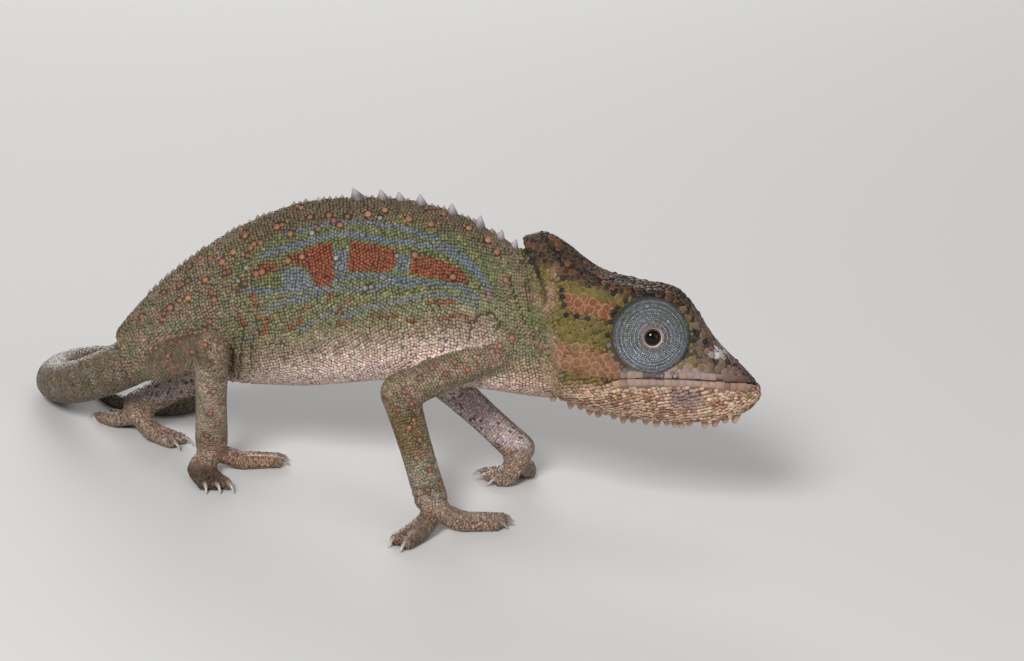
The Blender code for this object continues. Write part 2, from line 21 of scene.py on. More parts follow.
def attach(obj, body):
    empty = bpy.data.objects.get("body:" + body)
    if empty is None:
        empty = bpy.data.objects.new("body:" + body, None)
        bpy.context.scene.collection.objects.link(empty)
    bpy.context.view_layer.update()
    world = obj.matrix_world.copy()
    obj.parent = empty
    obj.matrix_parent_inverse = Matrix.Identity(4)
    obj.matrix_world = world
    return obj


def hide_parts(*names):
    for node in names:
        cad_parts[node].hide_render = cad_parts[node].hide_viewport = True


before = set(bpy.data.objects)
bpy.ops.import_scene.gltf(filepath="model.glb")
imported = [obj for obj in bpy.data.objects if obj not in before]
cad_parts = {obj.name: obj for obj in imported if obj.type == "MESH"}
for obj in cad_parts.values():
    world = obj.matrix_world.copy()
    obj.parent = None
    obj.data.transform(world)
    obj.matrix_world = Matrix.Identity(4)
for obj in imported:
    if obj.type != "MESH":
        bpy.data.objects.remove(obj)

LOG = logging.getLogger("chameleon")
MM = 0.001
SEED = 7


def smooth(rows: np.ndarray, at: np.ndarray) -> np.ndarray:
    """Reads a table between its rows along a Catmull-Rom curve: a cubic through each four rows in turn.

    Args:
        rows: the table, one row a station.
        at: row numbers, whole or part, of any shape.

    Returns:
        The rows read there, with the shape of at and then the table's width.
    """
    rows = np.asarray(rows, float)
    at = np.asarray(at, float)
    padded = np.vstack([2 * rows[0] - rows[1], rows, 2 * rows[-1] - rows[-2]])
    low = np.clip(np.floor(at).astype(int), 0, len(rows) - 2)
    u = (at - low)[..., None]
    return catmull_rom([padded[low + k] for k in range(4)], u)


def catmull_rom(rows: list, t: np.ndarray) -> np.ndarray:
    """The cubic through the middle two of four rows, t of the way between them."""
    a, b, c, d = rows
    return 0.5 * (2 * b + (c - a) * t + (2 * a - 5 * b + 4 * c - d) * t**2 + (3 * b - a - 3 * c + d) * t**3)


def soft_step(low: float, high: float, value: np.ndarray) -> np.ndarray:
    """Rises from 0 at low to 1 at high as 3t^2 - 2t^3."""
    t = np.clip((value - low) / (high - low), 0, 1)
    return t * t * (3 - 2 * t)


def blend_colour(below: np.ndarray, above: tuple, share: np.ndarray) -> np.ndarray:
    """Mixes a colour over others by a share of 0 to 1 for each."""
    share = np.clip(share, 0, 1)[:, None]
    return below * (1 - share) + np.asarray(above) * share


def ring_sides(along: int, around: int) -> list:
    """Four-sided faces between each ring of points and the next.

    Args:
        along: how many rings.
        around: points in each.

    Returns:
        The faces.
    """
    row, k = (part.ravel() for part in np.meshgrid(np.arange(along - 1), np.arange(around), indexing="ij"))
    after = (k + 1) % around
    return (np.stack([row, row, row + 1, row + 1], 1) * around + np.stack([k, after, after, k], 1)).tolist()


def off_line(pixels: np.ndarray, line: tuple) -> np.ndarray:
    """How far places are from a line: the least distance to its straight stretches.

    Args:
        pixels: places in the side view.
        line: the line's points there.

    Returns:
        A distance each.
    """
    line = np.asarray(line, float)
    near = np.full(len(pixels), 1e9)
    for a, b in zip(line, line[1:]):
        way = b - a
        t = np.clip(((pixels - a) @ way) / (way @ way), 0, 1)
        near = np.minimum(near, np.linalg.norm(pixels - a - t[:, None] * way, axis=1))
    return near


@dataclass(frozen=True)
class Stance:
    """How the animal's own frame stands over the floor."""

    pitch: float = math.radians(8.0)
    lean: float = math.radians(8.0)
    height: float = 0.0172
    shift: tuple = (0.01126, -0.00236, 0.0)

    def axes(self) -> np.ndarray:
        """The frame's x, y and z over the floor, one a row."""
        sp, cp, sl, cl = math.sin(self.pitch), math.cos(self.pitch), math.sin(self.lean), math.cos(self.lean)
        return np.array([[cp, sp * sl, sp * cl], [0, cl, -sl], [-sp, cp * sl, cp * cl]])

    def origin(self) -> np.ndarray:
        """Where the frame's origin stands."""
        return np.array([self.shift[0], self.shift[1], self.height])

    def over_floor(self, points: np.ndarray) -> np.ndarray:
        """Points of the animal's frame as points over the floor."""
        return np.asarray(points) @ self.axes() + self.origin()

    def in_body(self, points: np.ndarray) -> np.ndarray:
        """Points over the floor as points of the animal's frame."""
        return (np.asarray(points) - self.origin()) @ self.axes().T


STANCE = Stance()


@dataclass(frozen=True)
class SideView:
    """The camera, a pinhole that looks at the right side from a little in front and above."""

    yaw: float = math.radians(6.0)
    look_down: float = math.radians(9.0)
    distance: float = 0.400
    pixel: float = 0.000093
    width: int = 1024
    height: int = 661
    sensor: float = 36.0

    def axes(self) -> np.ndarray:
        """Right, up and forward of the view over the floor, one a row.

        Returns:
            The three directions.
        """
        x, y, z = STANCE.axes()
        level = math.cos(self.yaw) * y - math.sin(self.yaw) * x
        right = math.cos(self.yaw) * x + math.sin(self.yaw) * y
        up = math.sin(self.look_down) * level + math.cos(self.look_down) * z
        forward = math.cos(self.look_down) * level - math.sin(self.look_down) * z
        return np.array([right, up, forward])

    def eye(self) -> np.ndarray:
        """Where the camera stands."""
        return STANCE.origin() - self.axes()[2] * self.distance

    def pixels(self, points: np.ndarray) -> np.ndarray:
        """Where points over the floor fall in the view.

        Args:
            points: places over the floor.

        Returns:
            The pixels across and down of each.
        """
        right, up, forward = self.axes()
        away = np.asarray(points) - self.eye()
        scale = self.distance / self.pixel / (away @ forward)
        across = self.width / 2 + (away @ right) * scale
        down = self.height / 2 - (away @ up) * scale
        return np.stack([across, down], axis=-1)

    def side_pixels(self, body: np.ndarray) -> np.ndarray:
        """Where points of the animal's frame fall, those of the left side as if mirrored to the right.

        Args:
            body: places in the animal's frame.

        Returns:
            The pixels across and down of each.
        """
        near = np.array(body)
        near[:, 1] = -np.abs(near[:, 1])
        return self.pixels(STANCE.over_floor(near))

    def ray(self, px: float, py: float) -> np.ndarray:
        """The direction from the eye through a pixel.

        Args:
            px: pixels across.
            py: pixels down.

        Returns:
            A direction over the floor, one long.
        """
        right, up, forward = self.axes()
        step = self.pixel / self.distance
        way = forward + (px - self.width / 2) * step * right - (py - self.height / 2) * step * up
        return way / np.linalg.norm(way)

    def add_camera(self) -> None:
        """Sets the scene's camera here."""
        data = bpy.data.cameras.new("camera")
        data.sensor_width = self.sensor
        data.lens = self.sensor * self.distance / (self.width * self.pixel)
        data.clip_start = 0.01
        camera = bpy.data.objects.new("camera", data)
        right, up, forward = self.axes()
        turn = Matrix([right, up, -forward]).transposed().to_4x4()
        camera.matrix_world = Matrix.Translation(Vector(self.eye())) @ turn
        bpy.context.scene.collection.objects.link(camera)
        bpy.context.scene.camera = camera


VIEW = SideView()


class Region(Enum):
    """The parts of the coat, each a piece of its own."""

    FLANK_RIGHT_FRONT = "coat_flank_right_front"
    FLANK_RIGHT_REAR = "coat_flank_right_rear"
    FLANK_LEFT_FRONT = "coat_flank_left_front"
    FLANK_LEFT_REAR = "coat_flank_left_rear"
    HEAD_RIGHT = "coat_head_right"
    HEAD_LEFT = "coat_head_left"
    LEGS_RIGHT = "coat_legs_right"
    LEGS_LEFT = "coat_legs_left"
    TAIL = "coat_tail"


class Kind(Enum):
    """The sorts of scale.

    Half width, height, the shoulder's radius and height, where its border starts, and how square it is.
    """

    GRANULE = (0.680, 0.21, 0.82, 0.82, 0.68, 0.0)
    BELLY = (0.680, 0.19, 0.84, 0.82, 0.69, 0.0)
    PLATE = (0.670, 0.070, 0.93, 0.94, 0.66, 0.0)
    LIP = (0.640, 0.055, 0.93, 0.93, 0.87, 1.0)
    TUBERCLE = (0.600, 0.27, 0.68, 0.66, 0.78, 0.0)
    BEAD = (0.500, 0.34, 0.72, 0.66, 0.86, 0.0)


class Surface:
    """A closed surface that is a function of u along it and v, 0 to 1, around it."""

    name: str = "surface"
    first: float = 0.0
    last: float = 1.0
    waviness: float = 0.25

    def point(self, u: np.ndarray, v: np.ndarray) -> np.ndarray:
        """Points over the floor at u and v."""
        raise NotImplementedError

    def grid(self, along: int, around: int) -> tuple[np.ndarray, list]:
        """A closed mesh of the surface, each end closed by a fan round its middle.

        Args:
            along: rings from end to end.
            around: points in each ring.

        Returns:
            The points and the faces.
        """
        u = np.linspace(self.first, self.last, along)
        v = np.arange(around) / around
        rings = self.point(*np.meshgrid(u, v, indexing="ij"))
        points = np.vstack([rings.reshape(-1, 3), rings[0].mean(0), rings[-1].mean(0)])
        ring = np.arange(around)
        following = (ring + 1) % around
        base = (along - 1) * around
        start = np.stack([np.full(around, along * around), following, ring], 1)
        end = np.stack([np.full(around, along * around + 1), base + ring, base + following], 1)
        return points, ring_sides(along, around) + start.tolist() + end.tolist()

    def rows(self, pitch: float, rng: np.random.Generator, gauge: float = 0.5) -> "Sites":
        """Places for scales in staggered rows round the surface, evenly spaced by length.

        Args:
            pitch: distance between neighbours in a row.
            rng: source of the small shifts.
            gauge: the v along which the rows are spaced.

        Returns:
            The places, with their u and v.
        """
        fine = np.linspace(self.first, self.last, 400)
        line = self.point(fine, np.full(400, gauge))
        length = np.concatenate([[0], np.cumsum(np.linalg.norm(np.diff(line, axis=0), axis=1))])
        count = max(2, int(length[-1] / (pitch * 0.87)))
        levels = np.interp(np.linspace(0, length[-1], count), length, fine)
        around = np.linspace(0, 1, 241)
        rings = self.point(*np.meshgrid(levels, around, indexing="ij"))
        reach = np.cumsum(np.linalg.norm(np.diff(rings, axis=1), axis=2), axis=1)
        u, v = [], []
        for number, level in enumerate(levels):
            total = reach[number, -1]
            each = max(3, int(round(total / pitch)))
            at = (np.arange(each) + 0.5 * (number % 2) + rng.normal(0, 0.08, each)) / each * total
            v.append(np.interp(at % total, np.concatenate([[0], reach[number]]), around))
            u.append(np.full(each, level))
        u, v = np.concatenate(u), np.concatenate(v)
        step = (self.last - self.first) / count
        share, turn = (u - self.first) / (self.last - self.first), v * 2 * math.pi
        wave = np.sin(5 * turn + share * 9) + np.sin(11 * turn - share * 13 + 1)
        u = np.clip(u + step * (rng.normal(0, 0.10, len(u)) + self.waviness * wave), self.first, self.last)
        place = self.point(u, v)
        across = self.point(u, v + 0.004) - self.point(u, v - 0.004)
        across /= np.linalg.norm(across, axis=1)[:, None] + 1e-12
        share = (u - self.first) / (self.last - self.first)
        return Sites(place, across, np.full(len(u), pitch), share, v % 1.0)


@dataclass
class Sites:
    """Places of scales: where, the way along the row, the pitch, and u and v on the part as shares."""

    place: np.ndarray
    across: np.ndarray
    pitch: np.ndarray
    u: np.ndarray
    v: np.ndarray

    def chosen(self, which: np.ndarray) -> "Sites":
        """The places that a mask or an order picks."""
        return Sites(self.place[which], self.across[which], self.pitch[which], self.u[which], self.v[which])


@dataclass
class Trunk(Surface):
    """Neck and torso: sections between a back line and a belly line, a keeled back over a round belly."""

    name: str = "trunk"
    first: float = 0.0
    last: float = 13.0
    waviness: float = 0.45
    girth_at: float = 0.45
    back_power: float = 1.45
    belly_power: float = 2.2
    stations: tuple = (
        (1.3, 7.4, 3.6, -6.3, 3.4), (-0.1, 8.3, 1.5, -6.1, 3.5), (-2.1, 9.5, -1.4, -5.7, 3.9),
        (-4.9, 10.9, -4.7, -5.3, 4.5), (-8.6, 12.0, -8.4, -5.0, 5.0), (-12.3, 12.4, -12.2, -4.9, 5.2),
        (-16.1, 12.3, -15.6, -5.2, 5.2), (-19.8, 11.8, -18.9, -5.5, 5.0), (-23.6, 10.4, -22.2, -5.5, 4.6),
        (-27.3, 8.5, -25.3, -5.4, 4.1), (-30.6, 6.2, -28.4, -5.2, 3.6), (-33.4, 3.8, -31.2, -5.1, 3.2),
        (-35.7, 1.5, -33.9, -5.3, 2.7), (-37.5, -0.7, -35.5, -5.6, 2.2),
    )

    def point(self, u: np.ndarray, v: np.ndarray) -> np.ndarray:
        """Section u is a superellipse: its height is |sin|^(2/p) and its width |cos|^(2/p) of the angle.

        Args:
            u: how far along, of any shape.
            v: turns round, of the same shape.

        Returns:
            Points over the floor.
        """
        row = smooth(self.stations, u) * MM
        zero = np.zeros(row.shape[:-1])
        back = np.stack([row[..., 0], zero, row[..., 1]], -1)
        belly = np.stack([row[..., 2], zero, row[..., 3]], -1)
        angle = np.asarray(v) * 2 * math.pi
        power = np.where(np.sin(angle) > 0, self.back_power, self.belly_power)
        across = np.sign(np.cos(angle)) * np.abs(np.cos(angle)) ** (2 / power) * row[..., 4]
        up = np.sign(np.sin(angle)) * np.abs(np.sin(angle)) ** (2 / power)
        centre = belly + (back - belly) * self.girth_at
        reach = np.where(up[..., None] > 0, back - centre, centre - belly)
        points = centre + up[..., None] * reach
        points[..., 1] += across
        return STANCE.over_floor(points)

    def ridge(self, px: np.ndarray) -> np.ndarray:
        """Points of the back's ridge, in the animal's frame, at places along the view's width.

        Args:
            px: pixels across.

        Returns:
            The points.
        """
        u = np.linspace(self.first, self.last, 800)
        line = self.point(u, np.full(800, 0.25))
        across = VIEW.pixels(line)[:, 0]
        order = np.argsort(across)
        at = np.interp(px, across[order], u[order])
        return STANCE.in_body(self.point(at, np.full(len(at), 0.25)))


@dataclass
class Head(Surface):
    """Casque, temples, jaws and snout: sections through seven lines a side, rounded between them."""

    name: str = "head"
    first: float = 0.0
    last: float = 9.0
    waviness: float = 0.6
    nape_top: float = 7.4
    stations: tuple = (
        (1.3, 0.168, 8.9, 8.5, 0.8, 5.7, 2.4, 1.0, 3.6, -2.8, 3.4, -5.1, 1.8, -5.9),
        (3.1, 0.110, 9.3, 8.4, 1.6, 4.7, 3.2, -0.4, 4.3, -3.9, 3.9, -5.9, 2.1, -6.2),
        (4.7, 0.060, 8.7, 6.2, 2.9, 3.3, 3.9, -1.8, 4.7, -4.8, 4.3, -6.3, 2.4, -6.5),
        (8.2, 0.020, 6.0, 5.0, 3.4, 1.7, 4.3, -3.1, 4.9, -5.6, 4.5, -7.2, 2.5, -7.5),
        (12.0, 0.0, 4.4, 4.4, 3.0, 0.5, 3.0, -3.5, 4.2, -5.7, 4.0, -7.7, 2.2, -8.0),
        (15.7, 0.0, 3.2, 3.5, 2.5, -0.4, 2.5, -3.7, 3.4, -5.7, 3.3, -7.9, 1.8, -8.2),
        (19.0, 0.0, -0.5, -0.9, 1.8, -2.1, 2.2, -3.9, 2.6, -5.7, 2.5, -7.8, 1.4, -8.1),
        (21.8, 0.0, -3.3, -3.5, 1.1, -3.9, 1.5, -4.5, 1.6, -5.7, 1.5, -7.0, 0.9, -7.3),
        (22.9, 0.0, -4.5, -4.7, 0.5, -4.8, 0.7, -4.9, 0.8, -5.6, 0.8, -6.1, 0.5, -6.3),
        (23.2, 0.0, -4.9, -5.0, 0.3, -5.1, 0.4, -5.2, 0.5, -5.5, 0.5, -5.8, 0.3, -5.9),
    )

    def point(self, u: np.ndarray, v: np.ndarray) -> np.ndarray:
        """Section u is a closed Catmull-Rom curve through its twelve line points, v turns of it round.

        Args:
            u: how far along, of any shape.
            v: turns round, of the same shape.

        Returns:
            Points over the floor.
        """
        u, v = np.broadcast_arrays(np.asarray(u, float), np.asarray(v, float))
        row = smooth(self.stations, u)
        half = np.stack([0 * u] + [row[..., k] for k in (4, 6, 8, 10, 12)] + [0 * u], -1)
        tall = np.stack([row[..., k] for k in (2, 3, 5, 7, 9, 11, 13)], -1)
        across = np.concatenate([half, -half[..., 5:0:-1]], -1)
        height = np.concatenate([tall, tall[..., 5:0:-1]], -1)
        at = (np.mod(v, 1.0)) * 12
        low = np.floor(at).astype(int)
        t = at - low
        value = []
        for line in (across, height):
            four = [np.take_along_axis(line, ((low + k) % 12)[..., None], -1)[..., 0] for k in (-1, 0, 1, 2)]
            value.append(catmull_rom(four, t))
        x = row[..., 0] + row[..., 1] * (self.nape_top - value[1])
        return STANCE.over_floor(np.stack([x, value[0], value[1]], -1) * MM)


@dataclass
class Tube(Surface):
    """A round, tapering surface along a path, with round ends."""

    name: str = "tube"
    path: np.ndarray = field(default_factory=lambda: np.zeros((2, 3)))
    radii: np.ndarray = field(default_factory=lambda: np.ones(2))
    up: tuple = (0.0, 0.0, 1.0)
    waviness: float = 0.14

    def __post_init__(self) -> None:
        """Adds the round ends, and finds the two directions across each point of the path."""
        along = np.gradient(self.path, axis=0)
        along /= np.linalg.norm(along, axis=1)[:, None]
        turn = np.radians([20.0, 45.0, 68.0, 86.0])
        head = self.path[-1] + along[-1] * self.radii[-1] * np.sin(turn)[:, None]
        tail = self.path[0] - along[0] * self.radii[0] * np.sin(turn[::-1])[:, None]
        self.path = np.vstack([tail, self.path, head])
        start, end = self.radii[0] * np.cos(turn[::-1]), self.radii[-1] * np.cos(turn)
        self.radii = np.concatenate([start, self.radii, end])
        along = np.vstack([np.repeat(along[:1], 4, 0), along, np.repeat(along[-1:], 4, 0)])
        self.side = np.cross(along, np.array(self.up))
        self.side /= np.linalg.norm(self.side, axis=1)[:, None]
        self.over = np.cross(self.side, along)
        step = np.linalg.norm(np.diff(self.path, axis=0), axis=1) + 1e-9
        self.share = np.concatenate([[0], np.cumsum(step)]) / step.sum()

    def point(self, u: np.ndarray, v: np.ndarray) -> np.ndarray:
        """The path's point at u, plus its radius times cos and sin of v turns along the two directions.

        Args:
            u: how far along, of any shape.
            v: turns round, of the same shape.

        Returns:
            Points over the floor.
        """
        u, v = np.broadcast_arrays(np.asarray(u, float), np.asarray(v, float))

        def read(table: np.ndarray) -> np.ndarray:
            """Reads a table of the path at u."""
            return np.stack([np.interp(u, self.share, table[:, k]) for k in range(3)], -1)

        radius = np.interp(u, self.share, self.radii)[..., None]
        angle = (v * 2 * math.pi)[..., None]
        return read(self.path) + radius * (np.cos(angle) * read(self.side) + np.sin(angle) * read(self.over))


@dataclass
class Limb:
    """An arm or a leg: two lengths and a palm, and the toes and claws of its gripping foot."""

    name: str
    joints: tuple
    toes: tuple
    waist: float = 0.10
    toe_radii: tuple = (0.95, 0.75, 0.60)
    toe_facets: int = 8
    claw_length: float = 0.00068
    claw_radius: float = 0.00025
    claw_droop: float = 0.00035
    claw_arch: float = 0.0006
    claw_clearance: float = 0.00002

    def lengths(self) -> list[Tube]:
        """Upper and lower length and palm: straight paths whose radius runs evenly, less a sine waist.

        Returns:
            The three surfaces.
        """
        made = []
        for number, (start, end) in enumerate(zip(self.joints, self.joints[1:])):
            share = np.linspace(0, 1, 12)[:, None]
            a, b = (np.array(row[:3]) * MM + np.array(STANCE.shift) for row in (start, end))
            radii = (start[3] + (end[3] - start[3]) * share[:, 0]) * MM
            radii *= 1 - self.waist * np.sin(math.pi * share[:, 0])
            made.append(Tube(f"{self.name}_{number}", a + (b - a) * share, radii, self.across(b - a)))
        return made

    def across(self, way: np.ndarray) -> tuple:
        """A direction well off the path, to set its sections by."""
        return (0.0, 0.0, 1.0) if abs(way[2]) < 0.9 * np.linalg.norm(way) else (1.0, 0.0, 0.0)

    def toe_tubes(self) -> list[Tube]:
        """Each toe: a Catmull-Rom path from the palm down to the floor and along it to its tip.

        Returns:
            The surfaces.
        """
        root = np.array(self.joints[-1][:3]) * MM + np.array(STANCE.shift)
        flat = math.cos(math.pi / self.toe_facets)
        made = []
        for number, row in enumerate(self.toes):
            middle = np.array([row[0], row[1], self.toe_radii[1] * flat]) * MM + np.array(STANCE.shift)
            tip = np.array([row[2], row[3], self.toe_radii[2] * flat]) * MM + np.array(STANCE.shift)
            path = smooth(np.array([root, middle, tip]), np.linspace(0, 2, 15))
            path[7:, 2] = np.linspace(middle[2], tip[2], 8)
            radii = np.interp(np.linspace(0, 2, 15), [0, 1, 2], np.array(self.toe_radii)) * MM
            made.append(Tube(f"{self.name}_toe_{number}", path, radii))
        return made

    def claws(self) -> list[tuple[np.ndarray, list]]:
        """Each claw: a cone whose radius falls as sqrt(1 - t), bent down as t squared.

        Returns:
            The points and faces of each.
        """
        made = []
        for toe in self.toe_tubes():
            tip = toe.path[-5]
            ahead = toe.path[-5] - toe.path[-6]
            ahead = ahead / np.linalg.norm(ahead)
            side = np.cross(ahead, (0.0, 0.0, 1.0))
            side /= np.linalg.norm(side)
            radius = self.toe_radii[2] * MM
            t = np.linspace(0, 1, 9)
            reach = self.claw_length + radius * 0.6
            path = tip + ahead * (radius * 0.4 + reach * t[:, None])
            path[:, 2] += radius * 0.25 * (1 - t) + self.claw_arch * t * (1 - t)
            lowest = self.claw_radius * np.sqrt(1 - t * 0.97) + self.claw_clearance
            path[:, 2] = np.maximum(path[:, 2] - self.claw_droop * t**2, lowest)
            angle = np.arange(10) / 10 * 2 * math.pi
            ring = np.cos(angle)[:, None] * side + np.sin(angle)[:, None] * np.array([0, 0, 1.0])
            thick = self.claw_radius * np.sqrt(1 - t * 0.985)
            points = (path[:, None] + thick[:, None, None] * ring[None]).reshape(-1, 3)
            made.append(closed_rings(points, 9, 10))
        return made


def closed_rings(points: np.ndarray, along: int, around: int) -> tuple[np.ndarray, list]:
    """Faces over rings of points, each end closed by one flat face.

    Args:
        points: ring after ring.
        along: how many rings.
        around: points in each.

    Returns:
        The points and the faces.
    """
    ring = np.arange(around)
    return points, ring_sides(along, around) + [ring[::-1].tolist(), ((along - 1) * around + ring).tolist()]


@dataclass
class Tail:
    """The tail's path: down to the floor behind the hips, then round in a loose coil."""

    length: float = 0.058
    radius: float = 0.00235
    tip_radius: float = 0.0004
    heading: float = math.radians(150.0)
    turn: float = math.radians(440.0)
    turn_power: float = 1.8
    landing: float = 0.020
    sunk: float = 0.0012
    facets: int = 12

    def surface(self, trunk: Trunk) -> Tube:
        """The heading falls by turn times (s / length)^turn_power, and the height by a cubic to the floor.

        Args:
            trunk: the trunk whose last section it grows from.

        Returns:
            The tail's surface.
        """
        back, belly = np.array(trunk.stations[-1][:2]), np.array(trunk.stations[-1][2:4])
        middle = (back + belly) / 2 * MM
        start = STANCE.over_floor(np.array([middle[0] + self.sunk, 0, middle[1]]))
        s = np.linspace(0, self.length, 581)
        heading = self.heading - self.turn * (s / self.length) ** self.turn_power
        radii = self.tip_radius + (self.radius - self.tip_radius) * (1 - s / self.length) ** 0.85
        u = np.clip(s / self.landing, 0, 1)
        fall = (2 * u**3 - 3 * u**2 + 1) * start[2] + (u**3 - 2 * u**2 + u) * self.landing * -0.62
        height = fall + (3 * u**2 - 2 * u**3) * radii * math.cos(math.pi / self.facets)
        level = np.sqrt(np.clip(1 - np.gradient(height, s) ** 2, 0.2, 1)) * s[1]
        x = start[0] + np.concatenate([[0], np.cumsum(np.cos(heading) * level)[:-1]])
        y = start[1] + np.concatenate([[0], np.cumsum(np.sin(heading) * level)[:-1]])
        path = np.stack([x, y, height], 1)
        return Tube("tail", path[::4], radii[::4])


def new_mesh(name: str, points: np.ndarray, faces: list | np.ndarray) -> bpy.types.Mesh:
    """A mesh from points and faces: triangles in an array, or lists of any length.

    Args:
        name: the mesh's name.
        points: its points.
        faces: the numbers of each face's points.

    Returns:
        The mesh.
    """
    mesh = bpy.data.meshes.new(name)
    if isinstance(faces, np.ndarray):
        mesh.vertices.add(len(points))
        mesh.vertices.foreach_set("co", np.ascontiguousarray(points, dtype=np.float32).ravel())
        mesh.loops.add(faces.size)
        mesh.loops.foreach_set("vertex_index", np.ascontiguousarray(faces, dtype=np.int32).ravel())
        mesh.polygons.add(len(faces))
        mesh.polygons.foreach_set("loop_start", np.arange(0, faces.size, 3, dtype=np.int32))
        mesh.update(calc_edges=True)
    else:
        mesh.from_pydata(np.asarray(points).tolist(), [], faces)
        mesh.update()
    return mesh


def new_object(name: str, mesh: bpy.types.Mesh) -> bpy.types.Object:
    """An object in the scene, at the origin, that holds a mesh.

    Args:
        name: the object's name.
        mesh: its mesh.

    Returns:
        The object.
    """
    made = bpy.data.objects.new(name, mesh)
    bpy.context.scene.collection.objects.link(made)
    return made


def joined(parts: list[tuple[np.ndarray, list]]) -> tuple[np.ndarray, list]:
    """Several sets of points and faces as one.

    Args:
        parts: the points and faces of each.

    Returns:
        All points and faces.
    """
    points, faces, start = [], [], 0
    for some, lists in parts:
        points.append(some)
        faces += [[start + k for k in face] for face in lists]
        start += len(some)
    return np.vstack(points), faces


def face_out(mesh: bpy.types.Mesh) -> None:
    """Turns every face outwards.

    Args:
        mesh: the mesh to change.
    """
    shape = bmesh.new()
    shape.from_mesh(mesh)
    bmesh.ops.recalc_face_normals(shape, faces=shape.faces)
    shape.to_mesh(mesh)
    shape.free()


def paint(mesh: bpy.types.Mesh, colours: np.ndarray, name: str = "paint") -> None:
    """Stores one colour a vertex.

    Args:
        mesh: the mesh.
        colours: red, green and blue, one point a row.
        name: the attribute's name.
    """
    layer = mesh.color_attributes.new(name, "FLOAT_COLOR", "POINT")
    opaque = np.column_stack([colours, np.ones(len(colours))]).astype(np.float32)
    layer.data.foreach_set("color", opaque.ravel())


def points_of(mesh: bpy.types.Mesh) -> np.ndarray:
    """A mesh's points as an array.

    Args:
        mesh: the mesh.

    Returns:
        One point a row.
    """
    points = np.empty(len(mesh.vertices) * 3, np.float32)
    mesh.vertices.foreach_get("co", points)
    return points.reshape(-1, 3).astype(float)


def normals_of(mesh: bpy.types.Mesh) -> np.ndarray:
    """A mesh's point normals as an array.

    Args:
        mesh: the mesh.

    Returns:
        One normal a row.
    """
    normals = np.empty(len(mesh.vertices) * 3, np.float32)
    mesh.vertex_normals.foreach_get("vector", normals)
    return normals.reshape(-1, 3).astype(float)


class Value:
    """A number socket of a shader that Python's operators work on."""

    def __init__(self, shader: "Shader", socket: bpy.types.NodeSocket) -> None:
        """Wraps a socket."""
        self.shader = shader
        self.socket = socket

    def maths(self, operation: str, *values: "Value | float") -> "Value":
        """One Math node."""
        node = self.shader.node("ShaderNodeMath", {"operation": operation}, dict(enumerate(values)))
        return Value(self.shader, node.outputs[0])

    def __add__(self, other: "Value | float") -> "Value":
        """self + other"""
        return self.maths("ADD", self, other)

    def __sub__(self, other: "Value | float") -> "Value":
        """self - other"""
        return self.maths("SUBTRACT", self, other)

    def __rsub__(self, other: "Value | float") -> "Value":
        """other - self"""
        return self.maths("SUBTRACT", other, self)

    def __mul__(self, other: "Value | float") -> "Value":
        """self * other"""
        return self.maths("MULTIPLY", self, other)

    __radd__ = __add__
    __rmul__ = __mul__

    def step(self, low: float, high: float) -> "Value":
        """0 below low and 1 above high, smoothly between.

        Args:
            low: where it starts.
            high: where it ends.

        Returns:
            The step.
        """
        node = self.shader.node("ShaderNodeMapRange", {"interpolation_type": "SMOOTHSTEP"},
                                {"Value": self, "From Min": low, "From Max": high})
        return Value(self.shader, node.outputs[0])


class Shader:
    """One material and its nodes."""

    def __init__(self, name: str) -> None:
        """Starts a material with a Principled shader."""
        self.material = bpy.data.materials.new(name)
        self.material.use_nodes = True
        self.tree = self.material.node_tree
        self.surface = self.tree.nodes["Principled BSDF"]

    def node(self, kind: str, settings: dict | None = None, inputs: dict | None = None) -> bpy.types.Node:
        """One node.

        Args:
            kind: the node's type.
            settings: its properties, set first.
            inputs: a value, a Value or a socket for each input, by name or number.

        Returns:
            The node.
        """
        made = self.tree.nodes.new(kind)
        for name, value in (settings or {}).items():
            setattr(made, name, value)
        for name, value in (inputs or {}).items():
            self.feed(made.inputs[name], value)
        return made

    def feed(self, socket: bpy.types.NodeSocket, value: object) -> None:
        """Links or sets one input.

        Args:
            socket: the input.
            value: a Value, a socket or a plain value.
        """
        if isinstance(value, Value):
            value = value.socket
        if isinstance(value, bpy.types.NodeSocket):
            self.tree.links.new(value, socket)
        else:
            socket.default_value = value

    def here(self) -> bpy.types.NodeSocket:
        """Object coordinates."""
        return self.node("ShaderNodeTexCoord").outputs["Object"]

    def noise(self, scale: float, detail: float = 2.0, roughness: float = 0.5) -> Value:
        """Noise over the object, about 0.5.

        Args:
            scale: how fine, in waves a metre.
            detail: how many finer layers.
            roughness: how strong those are.

        Returns:
            The noise.
        """
        node = self.node("ShaderNodeTexNoise", None,
                         {"Vector": self.here(), "Scale": scale, "Detail": detail, "Roughness": roughness})
        return Value(self, node.outputs[0])

    def painted(self, name: str = "paint") -> bpy.types.NodeSocket:
        """The colours stored on the piece."""
        return self.node("ShaderNodeAttribute", {"attribute_name": name}).outputs["Color"]

    def edge(self) -> Value:
        """How far past the start of its border each place of a scale is."""
        return Value(self, self.node("ShaderNodeAttribute", {"attribute_name": "edge"}).outputs["Fac"])

    def mix(self, share: Value | float, first: object, second: object,
            way: str = "MIX") -> bpy.types.NodeSocket:
        """Two colours mixed.

        Args:
            share: of the second.
            first: a colour or its socket.
            second: another.
            way: the blend type.

        Returns:
            The mixed colour.
        """
        node = self.node("ShaderNodeMix", {"data_type": "RGBA", "blend_type": way},
                         {0: share, 6: first, 7: second})
        return node.outputs[2]

    def bump(self, height: Value, depth: float, strength: float) -> bpy.types.NodeSocket:
        """A bump of a real depth."""
        node = self.node("ShaderNodeBump", None, {"Height": height, "Distance": depth, "Strength": strength})
        return node.outputs[0]


